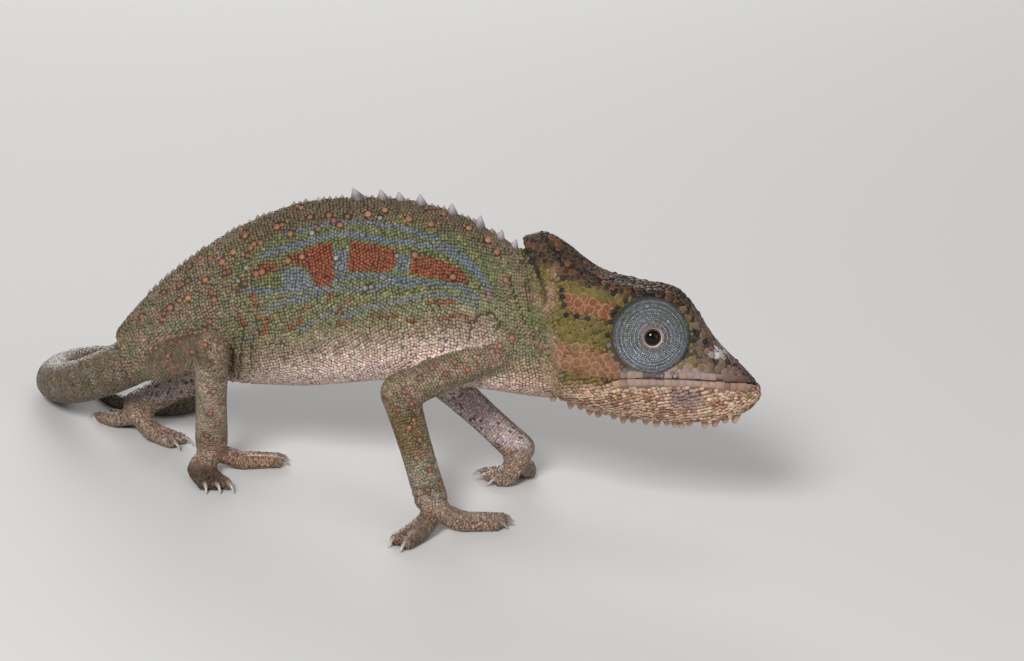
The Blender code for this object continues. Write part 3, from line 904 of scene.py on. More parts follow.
@dataclass(frozen=True)
class HideFinish:
    """Dry, painted reptile skin: mottled, borders of scales in their rim colour, partly painted shade, a fine
    grain on top.
    """

    name: str
    roughness: float = 0.5
    spread: float = 0.18
    mottle: float = 0.35
    mottle_scale: float = 1400.0
    grain_scale: float = 9000.0
    grain_depth: float = 0.00003
    specular: float = 0.5
    bordered: bool = False

    def material(self) -> bpy.types.Material:
        """Builds the material.

        Returns:
            The material.
        """
        shader = Shader(self.name)
        broad = shader.noise(self.mottle_scale, 3.0)
        grain = shader.noise(self.grain_scale, 2.0)
        shade = (broad * self.mottle) + (1.0 - self.mottle * 0.5)
        grey = shader.node("ShaderNodeCombineColor", None, {"Red": shade, "Green": shade, "Blue": shade})
        colour = shader.painted()
        if self.bordered:
            colour = shader.mix(shader.edge().step(0.0, 0.09), colour, shader.painted("rim"))
        colour = shader.mix(1.0, colour, grey.outputs[0], "MULTIPLY")
        shader.feed(shader.surface.inputs["Base Color"], colour)
        rough = (grain * self.spread) + (self.roughness - self.spread / 2)
        shader.feed(shader.surface.inputs["Roughness"], rough)
        shader.feed(shader.surface.inputs["Normal"], shader.bump(grain, self.grain_depth, 0.6))
        shader.surface.inputs["Specular IOR Level"].default_value = self.specular
        return shader.material


@dataclass(frozen=True)
class EyeFinish:
    """A wet eyeball: a black pupil, a bronze ring and a dark rim, by distance from the eye's axis."""

    name: str = "wet_eye"
    roughness: float = 0.05
    specular: float = 0.25

    def material(self) -> bpy.types.Material:
        """Builds the material.

        Returns:
            The material.
        """
        shader = Shader(self.name)
        grain = shader.noise(6000.0, 3.0)
        shade = (grain * 0.5) + 0.75
        grey = shader.node("ShaderNodeCombineColor", None, {"Red": shade, "Green": shade, "Blue": shade})
        colour = shader.mix(1.0, shader.painted(), grey.outputs[0], "MULTIPLY")
        shader.feed(shader.surface.inputs["Base Color"], colour)
        shader.surface.inputs["Roughness"].default_value = self.roughness
        shader.surface.inputs["Specular IOR Level"].default_value = self.specular
        return shader.material


@dataclass(frozen=True)
class FloorFinish:
    """The plain pale floor."""

    name: str = "pale_floor"
    colour: tuple = (0.60, 0.59, 0.575, 1.0)

    def material(self) -> bpy.types.Material:
        """Builds the material.

        Returns:
            The material.
        """
        shader = Shader(self.name)
        cloud = shader.noise(3.0, 2.0)
        dark = tuple(0.97 * c for c in self.colour[:3]) + (1.0,)
        tint = shader.mix((cloud * 0.5) + 0.25, self.colour, dark)
        shader.feed(shader.surface.inputs["Base Color"], tint)
        shader.surface.inputs["Roughness"].default_value = 0.8
        shader.surface.inputs["Specular IOR Level"].default_value = 0.1
        return shader.material


@dataclass(frozen=True)
class Patch:
    """A soft-edged marking: a box with rounded corners, turned, and narrowed towards one end."""

    centre: tuple
    half: tuple
    turn: float = 0.0
    taper: float = 0.0
    edge: float = 4.0

    def share(self, pixels: np.ndarray) -> np.ndarray:
        """1 inside and 0 outside: by the distance past a box whose half height is narrowed along it.

        Args:
            pixels: places in the side view.

        Returns:
            A share each.
        """
        angle = math.radians(self.turn)
        dx, dy = pixels[:, 0] - self.centre[0], pixels[:, 1] - self.centre[1]
        along = dx * math.cos(angle) + dy * math.sin(angle)
        aside = dy * math.cos(angle) - dx * math.sin(angle)
        narrow = 1 - self.taper * np.clip(along / self.half[0], -1, 1) * 0.5 - abs(self.taper) * 0.5
        past = np.maximum(np.abs(along) - self.half[0], np.abs(aside) - self.half[1] * narrow)
        return 1 - soft_step(-self.edge / 2, self.edge / 2, past)


@dataclass(frozen=True)
class Stripe:
    """A marking along a line through points of the view, of one half width."""

    line: tuple
    half: float
    edge: float = 3.0

    def share(self, pixels: np.ndarray) -> np.ndarray:
        """1 on the line and 0 past its half width, by the distance to its nearest stretch."""
        near = off_line(pixels, self.line)
        return 1 - soft_step(self.half - self.edge / 2, self.half + self.edge / 2, near)


@dataclass(frozen=True)
class Outline:
    """A marking inside a closed line of straight stretches, with a soft edge."""

    line: tuple
    edge: float = 3.0

    def share(self, pixels: np.ndarray) -> np.ndarray:
        """1 inside and 0 outside, by the distance to the line.

        A place is inside where an odd number of stretches lie to its right.

        Args:
            pixels: places in the side view.

        Returns:
            A share each.
        """
        closed = self.line + self.line[:1]
        inside = np.zeros(len(pixels), bool)
        for a, b in zip(closed, closed[1:]):
            way = np.array(b, float) - np.array(a, float)
            between = (pixels[:, 1] < a[1]) != (pixels[:, 1] < b[1])
            crossing = a[0] + (pixels[:, 1] - a[1]) / (way[1] if way[1] else 1e-9) * way[0]
            inside ^= between & (pixels[:, 0] < crossing)
        near = off_line(pixels, closed)
        past = np.where(inside, -near, near)
        return 1 - soft_step(-self.edge / 2, self.edge / 2, past)


@dataclass(frozen=True)
class Markings:
    """The animal's colours, one function of place for skin and scales alike."""

    brown: tuple = (0.096, 0.069, 0.040)
    rump: tuple = (0.150, 0.116, 0.070)
    blush: tuple = (0.215, 0.122, 0.088)
    olive: tuple = (0.088, 0.100, 0.042)
    low_olive: tuple = (0.128, 0.122, 0.066)
    yellow: tuple = (0.205, 0.180, 0.060)
    pink: tuple = (0.300, 0.215, 0.155)
    neck: tuple = (0.146, 0.120, 0.068)
    grey: tuple = (0.165, 0.150, 0.125)
    blue: tuple = (0.100, 0.115, 0.155)
    blue_pale: tuple = (0.115, 0.125, 0.128)
    rust: tuple = (0.150, 0.042, 0.018)
    belly: tuple = (0.570, 0.425, 0.365)
    orange: tuple = (0.158, 0.060, 0.024)
    casque: tuple = (0.032, 0.021, 0.013)
    temple: tuple = (0.124, 0.094, 0.030)
    cheek: tuple = (0.170, 0.076, 0.038)
    lip: tuple = (0.245, 0.172, 0.150)
    chin: tuple = (0.450, 0.300, 0.212)
    snout: tuple = (0.100, 0.068, 0.050)
    hand: tuple = (0.258, 0.178, 0.134)
    limb: tuple = (0.225, 0.160, 0.108)
    inner: tuple = (0.450, 0.360, 0.350)
    dots: tuple = (0.050, 0.038, 0.040)
    # Patches whose limb colours are multiplied: mostly painted shade where a limb lies in shade, painted
    # light where a shaded limb is brightened, with slight hue tints.
    limb_light_and_shade: tuple = (
        (Patch((163, 352), (42, 18), -12, 0, 16), (0.66, 0.63, 0.60)),
        (Patch((203, 482), (24, 16), 0, 0, 14), (0.34, 0.30, 0.26)),
        (Patch((250, 460), (34, 12), 0, 0, 14), (1.0, 0.88, 0.80)),
        (Patch((406, 432), (18, 24), 0, 0, 20), (0.66, 0.62, 0.44)),
        (Patch((427, 480), (20, 20), 0, 0, 20), (1.0, 1.12, 1.22)),
        (Patch((412, 530), (26, 18), 0, 0, 12), (0.64, 0.60, 0.54)),
        (Patch((211, 402), (16, 30), 0, 0, 16), (1.40, 1.46, 1.62)),
    )
    turret: tuple = (0.138, 0.148, 0.155)
    purple: tuple = (0.170, 0.115, 0.125)
    rust_patches: tuple = (
        Outline(((284, 260), (294, 253), (319, 244), (332, 242), (334, 256), (332, 269), (335, 276),
                 (332, 286), (317, 287), (310, 274), (308, 269), (300, 265), (286, 263))),
        Outline(((350, 240), (373, 245), (397, 249), (398, 256), (393, 269), (383, 272), (367, 271),
                 (348, 272), (349, 260), (351, 250))),
        Outline(((413, 255), (426, 256), (444, 261), (460, 269), (466, 276), (469, 284), (453, 282),
                 (434, 277), (418, 276), (409, 272), (412, 263))),
    )
    rust_rear: Outline = Outline(((256, 264), (278, 262), (284, 265), (276, 274), (260, 276), (248, 275)),
                                 7.0)
    rust_flecks: tuple = (
        Stripe(((328, 299), (332, 294)), 2.6), Stripe(((337, 313), (350, 299)), 1.8),
        Stripe(((289, 329), (300, 319)), 2.8), Stripe(((303, 312), (307, 307)), 2.4),
        Stripe(((268, 318), (263, 336)), 2.6), Stripe(((372, 318), (397, 315)), 2.0),
        Stripe(((338, 326), (351, 319)), 2.2), Stripe(((407, 321), (420, 321)), 1.8),
        Stripe(((437, 320), (460, 315)), 2.0), Stripe(((431, 304), (453, 301)), 2.2),
        Stripe(((252, 294), (255, 307)), 2.6), Stripe(((240, 318), (243, 325)), 3.0),
        Stripe(((466, 318), (472, 324)), 2.2), Stripe(((484, 292), (500, 300)), 2.0),
    )
    crown: tuple = ((520, 545, 562, 600, 640, 680, 715, 745), (262, 262, 276, 290, 296, 304, 345, 372))
    nape_shade: Stripe = Stripe(((522, 240), (527, 252), (535, 267), (543, 284), (546, 300)), 1.8, 5.0)
    neck_blushes: tuple = (
        Patch((524, 290), (5, 15), -22, 0, 8), Patch((541, 306), (5, 17), -25, 0, 8),
        Patch((508, 292), (4, 14), -30, 0, 8), Patch((530, 336), (4, 22), -35, 0, 8),
        Patch((545, 352), (9, 10), -20, 0, 8),
    )
    neck_field: Patch = Patch((522, 316), (36, 20), 32, 0, 16)
    body_shades: tuple = ((Patch((462, 332), (28, 20), 0, 0, 16), 0.20),
                          (Patch((275, 365), (40, 22), 0, 0, 20), 0.14))
    temple_strip: Patch = Patch((552, 290), (5, 26), 6, 0, 7)
    cheek_strip: Patch = Patch((552, 352), (10, 18), -20, 0, 10)
    temple_band: Patch = Patch((590, 307), (26, 9), 12, 0, 5)
    cheek_band: Patch = Patch((586, 362), (38, 13), 10, 0, 8)
    brow: Patch = Patch((664, 286), (46, 11), 9, 0, 12)
    chin_mark: Patch = Patch((686, 398), (15, 8), 0, 0, 8)
    crust_at: Patch = Patch((718, 352), (7, 6), 45, 0, 5)
    crust: tuple = (0.50, 0.48, 0.50)
    snout_end: tuple = (0.120, 0.072, 0.060)
    snout_tip: tuple = (0.060, 0.038, 0.033)
    neck_green: tuple = (0.098, 0.112, 0.042)
    pale_cells: tuple = (
        Outline(((286, 269), (299, 267), (308, 274), (313, 285), (319, 290), (286, 290), (279, 279))),
        Outline(((334, 250), (349, 248), (348, 272), (334, 276))),
        Outline(((398, 256), (412, 255), (409, 272), (394, 271))),
    )
    blue_lines: tuple = (
        Stripe(((283, 233), (305, 229), (329, 223), (351, 222), (374, 224), (405, 229), (437, 239),
                (460, 252), (474, 269)), 1.5),
        Stripe(((262, 256), (278, 250), (319, 239), (338, 233), (364, 236), (389, 241), (421, 244),
                (445, 250), (469, 266), (480, 276), (492, 300)), 2.3),
        Stripe(((390, 227), (421, 233), (453, 247), (479, 270), (494, 298)), 1.5),
        Stripe(((240, 290), (278, 292), (297, 289), (319, 288), (335, 279), (354, 276), (383, 277),
                (410, 281), (437, 284), (461, 287), (479, 298)), 2.3),
        Stripe(((294, 303), (319, 293), (342, 287), (366, 290), (389, 284), (413, 285)), 1.6),
        Stripe(((342, 317), (366, 308), (389, 303), (413, 298), (445, 293), (479, 306)), 1.5),
        Stripe(((250, 340), (258, 318), (275, 305), (300, 296)), 1.3),
        Stripe(((300, 330), (330, 312), (345, 306)), 1.3),
    )

    def of_body(self, pixels: np.ndarray, body: np.ndarray, noise: np.ndarray) -> np.ndarray:
        """Trunk colours: brown back, olive flank with blue lines and rust patches, and a pale belly.

        Args:
            pixels: places in the side view.
            body: the same places in the animal's frame, in millimetres.
            noise: a number about 0 for each, to break the edges.

        Returns:
            A colour each.
        """
        colour = np.tile(np.array(self.brown), (len(pixels), 1))
        px, py = pixels[:, 0], pixels[:, 1]
        back_line = np.interp(px, [110, 150, 200, 250, 300, 350, 400, 450, 500, 530],
                              [338, 295, 252, 222, 205, 198, 199, 210, 235, 258])
        depth = py - back_line + noise * 5
        colour = blend_colour(colour, self.rump, 1 - soft_step(190, 285, px))
        green = soft_step(12, 30, depth) * soft_step(190, 270, px)
        colour = blend_colour(colour, self.olive, green * 0.9)
        colour = blend_colour(colour, self.low_olive, green * soft_step(284, 300, py + noise * 6) * 0.9)
        speck = soft_step(0.1, 0.7, noise)
        colour = blend_colour(colour, self.yellow, green * speck * 0.6)
        rump = 1 - soft_step(215, 275, px)
        colour = blend_colour(colour, self.blush, rump * soft_step(0.0, 0.4, -noise) * 0.6)
        colour = blend_colour(colour, self.olive, rump * soft_step(0.1, 0.4, noise) * 0.7)
        edge = np.interp(px, [220, 260, 320, 400, 450, 500], [372, 360, 352, 340, 330, 322])
        below = py - edge + noise * 7
        low = soft_step(-28, 0, below) * soft_step(205, 262, px) * (1 - soft_step(490, 525, px))
        colour = blend_colour(colour, self.pink, low * 0.85)
        flank = soft_step(-6, 20, below) * soft_step(225, 290, px) * (1 - soft_step(440, 510, px))
        under = soft_step(-3.2, -5.0, body[:, 2]) * soft_step(-33, -27, body[:, 0])
        colour = blend_colour(colour, self.belly, np.maximum(flank, under * 0.9))
        shift = noise[:, None] * 1.6
        for stripe in self.blue_lines:
            colour = blend_colour(colour, self.blue, stripe.share(pixels + shift * 0.8) * 0.80)
        for patch in self.pale_cells:
            colour = blend_colour(colour, self.blue_pale, patch.share(pixels + shift) * 0.85)
        for patch in self.rust_patches:
            colour = blend_colour(colour, self.rust, patch.share(pixels + shift))
        broken = soft_step(-0.4, 0.1, noise)
        colour = blend_colour(colour, self.rust, self.rust_rear.share(pixels + shift) * broken)
        for patch in self.rust_flecks:
            colour = blend_colour(colour, self.rust, patch.share(pixels + shift * 1.5) * 0.8)
        for patch, depth in self.body_shades:
            colour *= 1 - depth * patch.share(pixels)[:, None]
        nape = soft_step(478, 515, px) * (1 - soft_step(325, 360, py))
        colour = blend_colour(colour, self.neck, nape * 0.65)
        green = self.neck_field.share(pixels)
        colour = blend_colour(colour, self.neck_green, green * soft_step(-0.4, 0.2, noise) * 0.7)
        for patch in self.neck_blushes:
            colour = blend_colour(colour, self.blush, patch.share(pixels + shift) * broken * 0.65)
        throat = soft_step(345, 385, py) * soft_step(495, 525, px)
        return blend_colour(colour, self.chin, throat * 0.7)

    def crowned(self, pixels: np.ndarray) -> np.ndarray:
        """Whether each place is on the casque, the brow or the snout."""
        return (pixels[:, 1] < np.interp(pixels[:, 0], *self.crown) + 4) | (pixels[:, 0] > 692)

    def blueness(self, pixels: np.ndarray) -> np.ndarray:
        """How far each place of the flank lies in a blue line or a pale cell, 0 to 1."""
        return np.max([mark.share(pixels) for mark in self.blue_lines + self.pale_cells], 0)

    def of_head(self, pixels: np.ndarray, noise: np.ndarray) -> np.ndarray:
        """Head colours: dark casque and snout, olive temple, orange cheek, grey lips and a tan chin.

        Args:
            pixels: places in the side view.
            noise: a number about 0 for each, to break the edges.

        Returns:
            A colour each.
        """
        colour = np.tile(np.array(self.temple), (len(pixels), 1))
        px, py = pixels[:, 0], pixels[:, 1] + noise * 3
        top = 1 - soft_step(-2, 5, py - np.interp(px, *self.crown))
        colour = blend_colour(colour, self.casque, top)
        colour = blend_colour(colour, self.orange, top * soft_step(0.1, 0.5, noise) * 0.50)
        strip = self.temple_strip.share(pixels) * soft_step(-0.7, 0.0, noise)
        colour = blend_colour(colour, self.blush, strip * 0.75)
        colour = blend_colour(colour, self.pink, self.cheek_strip.share(pixels) * 0.6)
        colour = blend_colour(colour, self.orange, self.temple_band.share(pixels))
        colour = blend_colour(colour, self.cheek, self.cheek_band.share(pixels) * 0.95)
        colour = blend_colour(colour, self.snout, soft_step(686, 700, px) * (1 - soft_step(362, 372, py)))
        colour = colour * (1 - 0.50 * self.brow.share(pixels))[:, None]
        colour = blend_colour(colour, self.lip, soft_step(366, 371, py) * soft_step(612, 632, px))
        colour = blend_colour(colour, self.chin, soft_step(383, 392, py) * soft_step(545, 585, px))
        colour = blend_colour(colour, self.chin, soft_step(380, 392, py) * 0.75)
        low = soft_step(383, 392, py)
        colour = blend_colour(colour, self.cheek, low * soft_step(0.0, 0.35, noise) * 0.65)
        colour = blend_colour(colour, self.purple, self.chin_mark.share(pixels) * 0.75)
        tip = soft_step(736, 748, px) * (1 - soft_step(378, 384, py))
        end = soft_step(706, 735, px) * (1 - soft_step(384, 390, py))
        colour = blend_colour(colour, self.snout_end, end)
        colour = blend_colour(colour, self.snout_tip, tip)
        crust = self.crust_at.share(pixels) * soft_step(-0.3, 0.2, noise)
        return blend_colour(colour, self.crust, crust * 0.75)

    def of_limb(self, body: np.ndarray, floor: np.ndarray, normal: np.ndarray, noise: np.ndarray,
                fleck: np.ndarray) -> np.ndarray:
        """Limb colours: brown with olive, pale with dark dots on the inner side, greyer pink hands and feet.

        Args:
            body: places in the animal's frame.
            floor: the same places over the floor.
            normal: which way the skin faces there, in the animal's frame.
            noise: a number about 0 for each, in clouds.
            fleck: a number about 0 for each, without clouds, which picks the dots.

        Returns:
            A colour each.
        """
        colour = np.tile(np.array(self.limb), (len(body), 1))
        colour = blend_colour(colour, self.olive, soft_step(-0.1, 0.55, noise) * 0.60)
        colour = blend_colour(colour, self.blush, soft_step(0.1, 0.6, -noise) * 0.45)
        facing = soft_step(0.15, 0.65, -np.sign(body[:, 1]) * normal[:, 1])
        inner = facing * soft_step(3.0, 4.5, floor[:, 2] / MM)
        colour = blend_colour(colour, self.inner, inner * 0.9)
        hand = 1 - soft_step(2.2, 4.5, floor[:, 2] / MM + noise * 0.5)
        colour = blend_colour(colour, self.hand, hand)
        colour = blend_colour(colour, self.orange, hand * soft_step(0.22, 0.40, fleck) * 0.65)
        pixels = VIEW.side_pixels(body)
        # Painted shade and painted light: limb colours darkened or lightened in patches, some slightly
        # tinted.
        for patch, tone in self.limb_light_and_shade:
            colour = colour * (1 - patch.share(pixels)[:, None] * (1 - np.array(tone)))
        return blend_colour(colour, self.dots, soft_step(0.36, 0.44, -fleck) * (0.35 + 0.5 * inner))

    def of_tail(self, floor: np.ndarray, noise: np.ndarray) -> np.ndarray:
        """Tail colours: brown, with faint darker bands."""
        colour = np.tile(np.array(self.brown) * 1.25, (len(floor), 1))
        return blend_colour(colour, self.grey, soft_step(-0.2, 0.6, noise) * 0.6)


@dataclass
class Skin:
    """One closed skin over every part of flesh, and the tools that find a place on it."""

    voxel: float = 0.00025
    coat_depth: float = 0.00009
    smoothing: int = 12
    mouth: tuple = ((757, 383), (740, 383), (700, 380), (650, 378.5), (622, 379), (605, 383))
    mouth_depth: float = 0.00032
    nostril: tuple = (716, 361)
    nostril_radius: float = 3.2
    nostril_depth: float = 0.0004
    fold_depth: float = 0.00020
    limb_fold_depth: float = 0.00011
    deepest_fold: float = 0.0003
    body_folds: tuple = (
        Stripe(((522, 240), (527, 252), (535, 268), (543, 286), (547, 312), (548, 340)), 1.6, 5.0),
        Stripe(((472, 352), (470, 332), (478, 316), (492, 312), (500, 322), (494, 336), (484, 338)),
               1.2, 4.0),
        Stripe(((243, 326), (241, 350), (237, 384)), 1.6, 6.0), Stripe(((233, 340), (230, 384)), 1.2, 5.0),
        Stripe(((252, 336), (249, 384)), 0.8, 5.0),
        Stripe(((510, 275), (516, 300), (526, 325)), 0.8, 4.5),
    )
    limb_folds: tuple = (
        Stripe(((384, 396), (408, 424)), 0.9, 4.0), Stripe(((391, 391), (416, 416)), 0.9, 4.0),
        Stripe(((399, 384), (420, 405)), 0.9, 4.0), Stripe(((196, 352), (204, 372)), 0.9, 4.0),
        Stripe(((203, 346), (213, 366)), 0.9, 4.0), Stripe(((188, 440), (210, 447), (232, 438)), 0.9, 4.5),
        Stripe(((402, 493), (424, 487), (444, 491)), 0.9, 4.5),
        Stripe(((402, 501), (424, 495), (446, 499)), 0.9, 4.5),
    )

    def build(self, surfaces: list[Surface]) -> bpy.types.Object:
        """Joins the parts' surfaces in one mesh by a fine voxel skin, and smooths and shapes it.

        Args:
            surfaces: the closed surfaces of the flesh.

        Returns:
            The skin.
        """
        parts = []
        for surface in surfaces:
            round_trunk = isinstance(surface, (Trunk, Head))
            parts.append(surface.grid(120 if round_trunk else 60, 96 if round_trunk else 28))
        rough = new_object("skin", new_mesh("skin", *joined(parts)))
        face_out(rough.data)
        remesh = rough.modifiers.new("One skin", "REMESH")
        remesh.mode = "VOXEL"
        remesh.voxel_size = self.voxel
        bpy.context.view_layer.update()
        mesh = bpy.data.meshes.new_from_object(rough.evaluated_get(bpy.context.evaluated_depsgraph_get()))
        rough.modifiers.clear()
        rough.data = mesh
        self.relax(mesh)
        mesh.shade_smooth()
        return rough

    def at_nostril(self, pixels: np.ndarray, radius: float) -> np.ndarray:
        """1 at the nostril, less away from it as a bell curve of a radius in pixels."""
        return np.exp(-(np.linalg.norm(pixels - np.array(self.nostril), axis=1) / radius) ** 2)

    def relax(self, mesh: bpy.types.Mesh) -> None:
        """Smooths without shrinking: each pass moves points to their neighbours' mean, then part way back.

        Args:
            mesh: the mesh to change.
        """
        edges = np.empty(len(mesh.edges) * 2, np.int32)
        mesh.edges.foreach_get("vertices", edges)
        a, b = edges.reshape(-1, 2).T
        points = points_of(mesh)
        count = np.bincount(a, minlength=len(points)) + np.bincount(b, minlength=len(points))
        for number in range(self.smoothing * 2):
            total = np.stack([np.bincount(a, points[b, k], len(points))
                              + np.bincount(b, points[a, k], len(points)) for k in range(3)], 1)
            mean = total / count[:, None]
            points += (mean - points) * (0.55 if number % 2 == 0 else -0.57)
        mesh.vertices.foreach_set("co", points.astype(np.float32).ravel())
        mesh.update()

    def shape(self, mesh: bpy.types.Mesh, part: np.ndarray) -> None:
        """Sinks the skin by the coat's depth, and more along the mouth, at the nostrils and in the folds.

        Args:
            mesh: the mesh to change.
            part: the number of the part that each point is on.
        """
        points = points_of(mesh)
        normals = normals_of(mesh)
        body = STANCE.in_body(points)
        pixels = VIEW.side_pixels(body)
        on_head = soft_step(0.0065, 0.008, body[:, 0])
        groove = Stripe(self.mouth, 1.2, 3.0).share(pixels) * on_head * self.mouth_depth
        hole = self.at_nostril(pixels, self.nostril_radius) * on_head * self.nostril_depth
        crease = np.zeros(len(points))
        sets = ((0, self.body_folds, self.fold_depth), (2, self.limb_folds, self.limb_fold_depth))
        for number, folds, depth in sets:
            for fold in folds:
                crease += fold.share(pixels) * (part == number) * depth
        crease = np.minimum(crease, self.deepest_fold)
        points -= normals * (self.coat_depth + groove + hole + crease)[:, None]
        points[:, 2] = np.maximum(points[:, 2], 0.00002)
        mesh.vertices.foreach_set("co", points.astype(np.float32).ravel())
        mesh.update()


@dataclass
class Coat:
    """The ground that the scales are set on: it finds the skin below a place or a pixel of the view."""

    skin: bpy.types.Object
    sink: float = 0.00001

    def __post_init__(self) -> None:
        """Makes the tree that finds places on the skin."""
        bpy.context.view_layer.update()
        self.tree = BVHTree.FromObject(self.skin, bpy.context.evaluated_depsgraph_get())

    def settle(self, sites: Sites, reach: float) -> tuple[np.ndarray, np.ndarray, np.ndarray]:
        """Moves places onto the skin.

        Args:
            sites: places near it.
            reach: how far off a place may be.

        Returns:
            The new places, the skin's normals there and which were near enough.
        """
        places, normals = np.array(sites.place), np.zeros_like(sites.place)
        near = np.zeros(len(places), bool)
        for number, place in enumerate(sites.place):
            found, normal, _, away = self.tree.find_nearest(place)
            places[number], normals[number], near[number] = found, normal, away < reach
        return places, normals, near

    def seen_at(self, px: float, py: float, mirrored: bool) -> tuple[Vector, Vector] | None:
        """The place and normal that the view's ray through a pixel meets, on either side of the animal.

        Args:
            px: pixels across.
            py: pixels down.
            mirrored: whether to look at the left side.

        Returns:
            The place and normal, or nothing.
        """
        start, way = VIEW.eye(), VIEW.ray(px, py)
        if mirrored:
            flip = np.array([1, -1, 1])
            start = STANCE.over_floor(STANCE.in_body(start) * flip)
            way = ((way @ STANCE.axes().T) * flip) @ STANCE.axes()
        found, normal, _, _ = self.tree.ray_cast(Vector(start), Vector(way))
        return (found, normal) if found is not None else None


@dataclass
class ScaleBatch:
    """Scales of one piece, one a row: their middles, the ways up and along their row, and their looks."""

    place: np.ndarray
    normal: np.ndarray
    across: np.ndarray
    size: np.ndarray
    shape: np.ndarray
    colour: np.ndarray
    foot: np.ndarray
    chart: np.ndarray

    def mesh(self, name: str, rng: np.random.Generator, patch: float = 0.0015) -> bpy.types.Mesh:
        """All the scales as one mesh: a sunk six-sided foot, a shoulder ring and an apex each.

        Args:
            name: the mesh's name.
            rng: source of each scale's small unevenness.
            patch: half the size of a scale's place in the chart.

        Returns:
            The mesh, with its colours and its OFBake chart.
        """
        place, normal, size, shape = self.place, self.normal, self.size, self.shape
        count = len(place)
        across = self.across - normal * np.sum(self.across * normal, 1)[:, None]
        across /= np.linalg.norm(across, axis=1)[:, None] + 1e-12
        along = np.cross(normal, across)
        angle = (np.arange(6) + 0.5) * math.pi / 3
        ring = np.stack([np.cos(angle), np.sin(angle)], 1)
        box = np.array([(0.77, 0.64), (0, 0.64), (-0.77, 0.64), (-0.77, -0.64), (0, -0.64), (0.77, -0.64)])
        half, tall = size[:, 0] * shape[:, 0], size[:, 0] * shape[:, 1]
        square = shape[:, 5, None, None]
        uneven = 1 + rng.normal(0, 0.05, (count, 6)) * (1 - 0.7 * square[..., 0])
        flat = (ring * (1 - square) + box * square) * uneven[..., None] * half[:, None, None]
        points = np.empty((count, 13, 3))
        for start, wide, high in ((0, np.ones(count), -0.35 * tall), (6, shape[:, 2], tall * shape[:, 3])):
            points[:, start:start + 6] = (
                place[:, None] + flat[..., :1] * across[:, None] * wide[:, None, None]
                + flat[..., 1:] * along[:, None] * wide[:, None, None] * size[:, 1, None, None]
                + normal[:, None] * high[:, None, None])
        points[:, 12] = place + normal * tall[:, None]
        points[..., 2] = np.maximum(points[..., 2], 0.00001)
        k = np.arange(6)
        after = (k + 1) % 6
        faces = np.vstack([np.stack([k, after, 6 + after], 1), np.stack([k, 6 + after, 6 + k], 1),
                           np.stack([6 + k, 6 + after, np.full(6, 12)], 1),
                           np.stack([np.zeros(4, int), k[2:], k[1:5]], 1)])
        every = (faces[None] + 13 * np.arange(count)[:, None, None]).reshape(-1, 3)
        made = new_mesh(name, points.reshape(-1, 3), every)
        paint(made, np.repeat(self.colour, 13, 0))
        paint(made, np.repeat(self.foot, 13, 0), "rim")
        edge = np.concatenate([np.ones((count, 6)), np.repeat(shape[:, 2:3], 6, 1), np.zeros((count, 1))], 1)
        layer = made.attributes.new("edge", "FLOAT", "POINT")
        layer.data.foreach_set("value", (edge - shape[:, 4:5]).astype(np.float32).ravel())
        layer = made.uv_layers.new(name="OFBake")
        spot = np.vstack([ring, ring * 0.7, [[0, 0]]]) * patch
        spots = (np.clip(self.chart, patch, 1 - patch)[:, None] + spot[None]).reshape(-1, 2)
        layer.data.foreach_set("uv", spots[every.ravel()].astype(np.float32).ravel())
        round_top = (np.arange(22) >= 12)[None] | (shape[:, 1] > 0.2)[:, None]
        made.polygons.foreach_set("use_smooth", round_top.ravel())
        return made


@dataclass
class Spike:
    """A bent cone: its radius falls as (1 - t)^power from the root, and it leans as t squared."""

    facets: int = 12
    rings: int = 7
    power: float = 0.85
    flat: float = 0.8

    def mesh(self, root: np.ndarray, way: np.ndarray, aside: np.ndarray, radius: float, height: float,
             lean: np.ndarray) -> tuple[np.ndarray, list]:
        """One cone.

        Args:
            root: the middle of its foot.
            way: its direction.
            aside: the direction in which it is narrower.
            radius: at its foot.
            height: from foot to tip.
            lean: how far its tip is drawn off its straight line.

        Returns:
            The points and the faces.
        """
        t = np.linspace(0, 0.97, self.rings)
        along = np.cross(way, aside)
        angle = np.arange(self.facets) / self.facets * 2 * math.pi
        ring = np.cos(angle)[:, None] * aside * self.flat + np.sin(angle)[:, None] * along
        middle = root + way * height * t[:, None] + lean * (t**2)[:, None]
        thick = radius * (1 - t) ** self.power
        points = (middle[:, None] + thick[:, None, None] * ring[None]).reshape(-1, 3)
        return closed_rings(points, self.rings, self.facets)


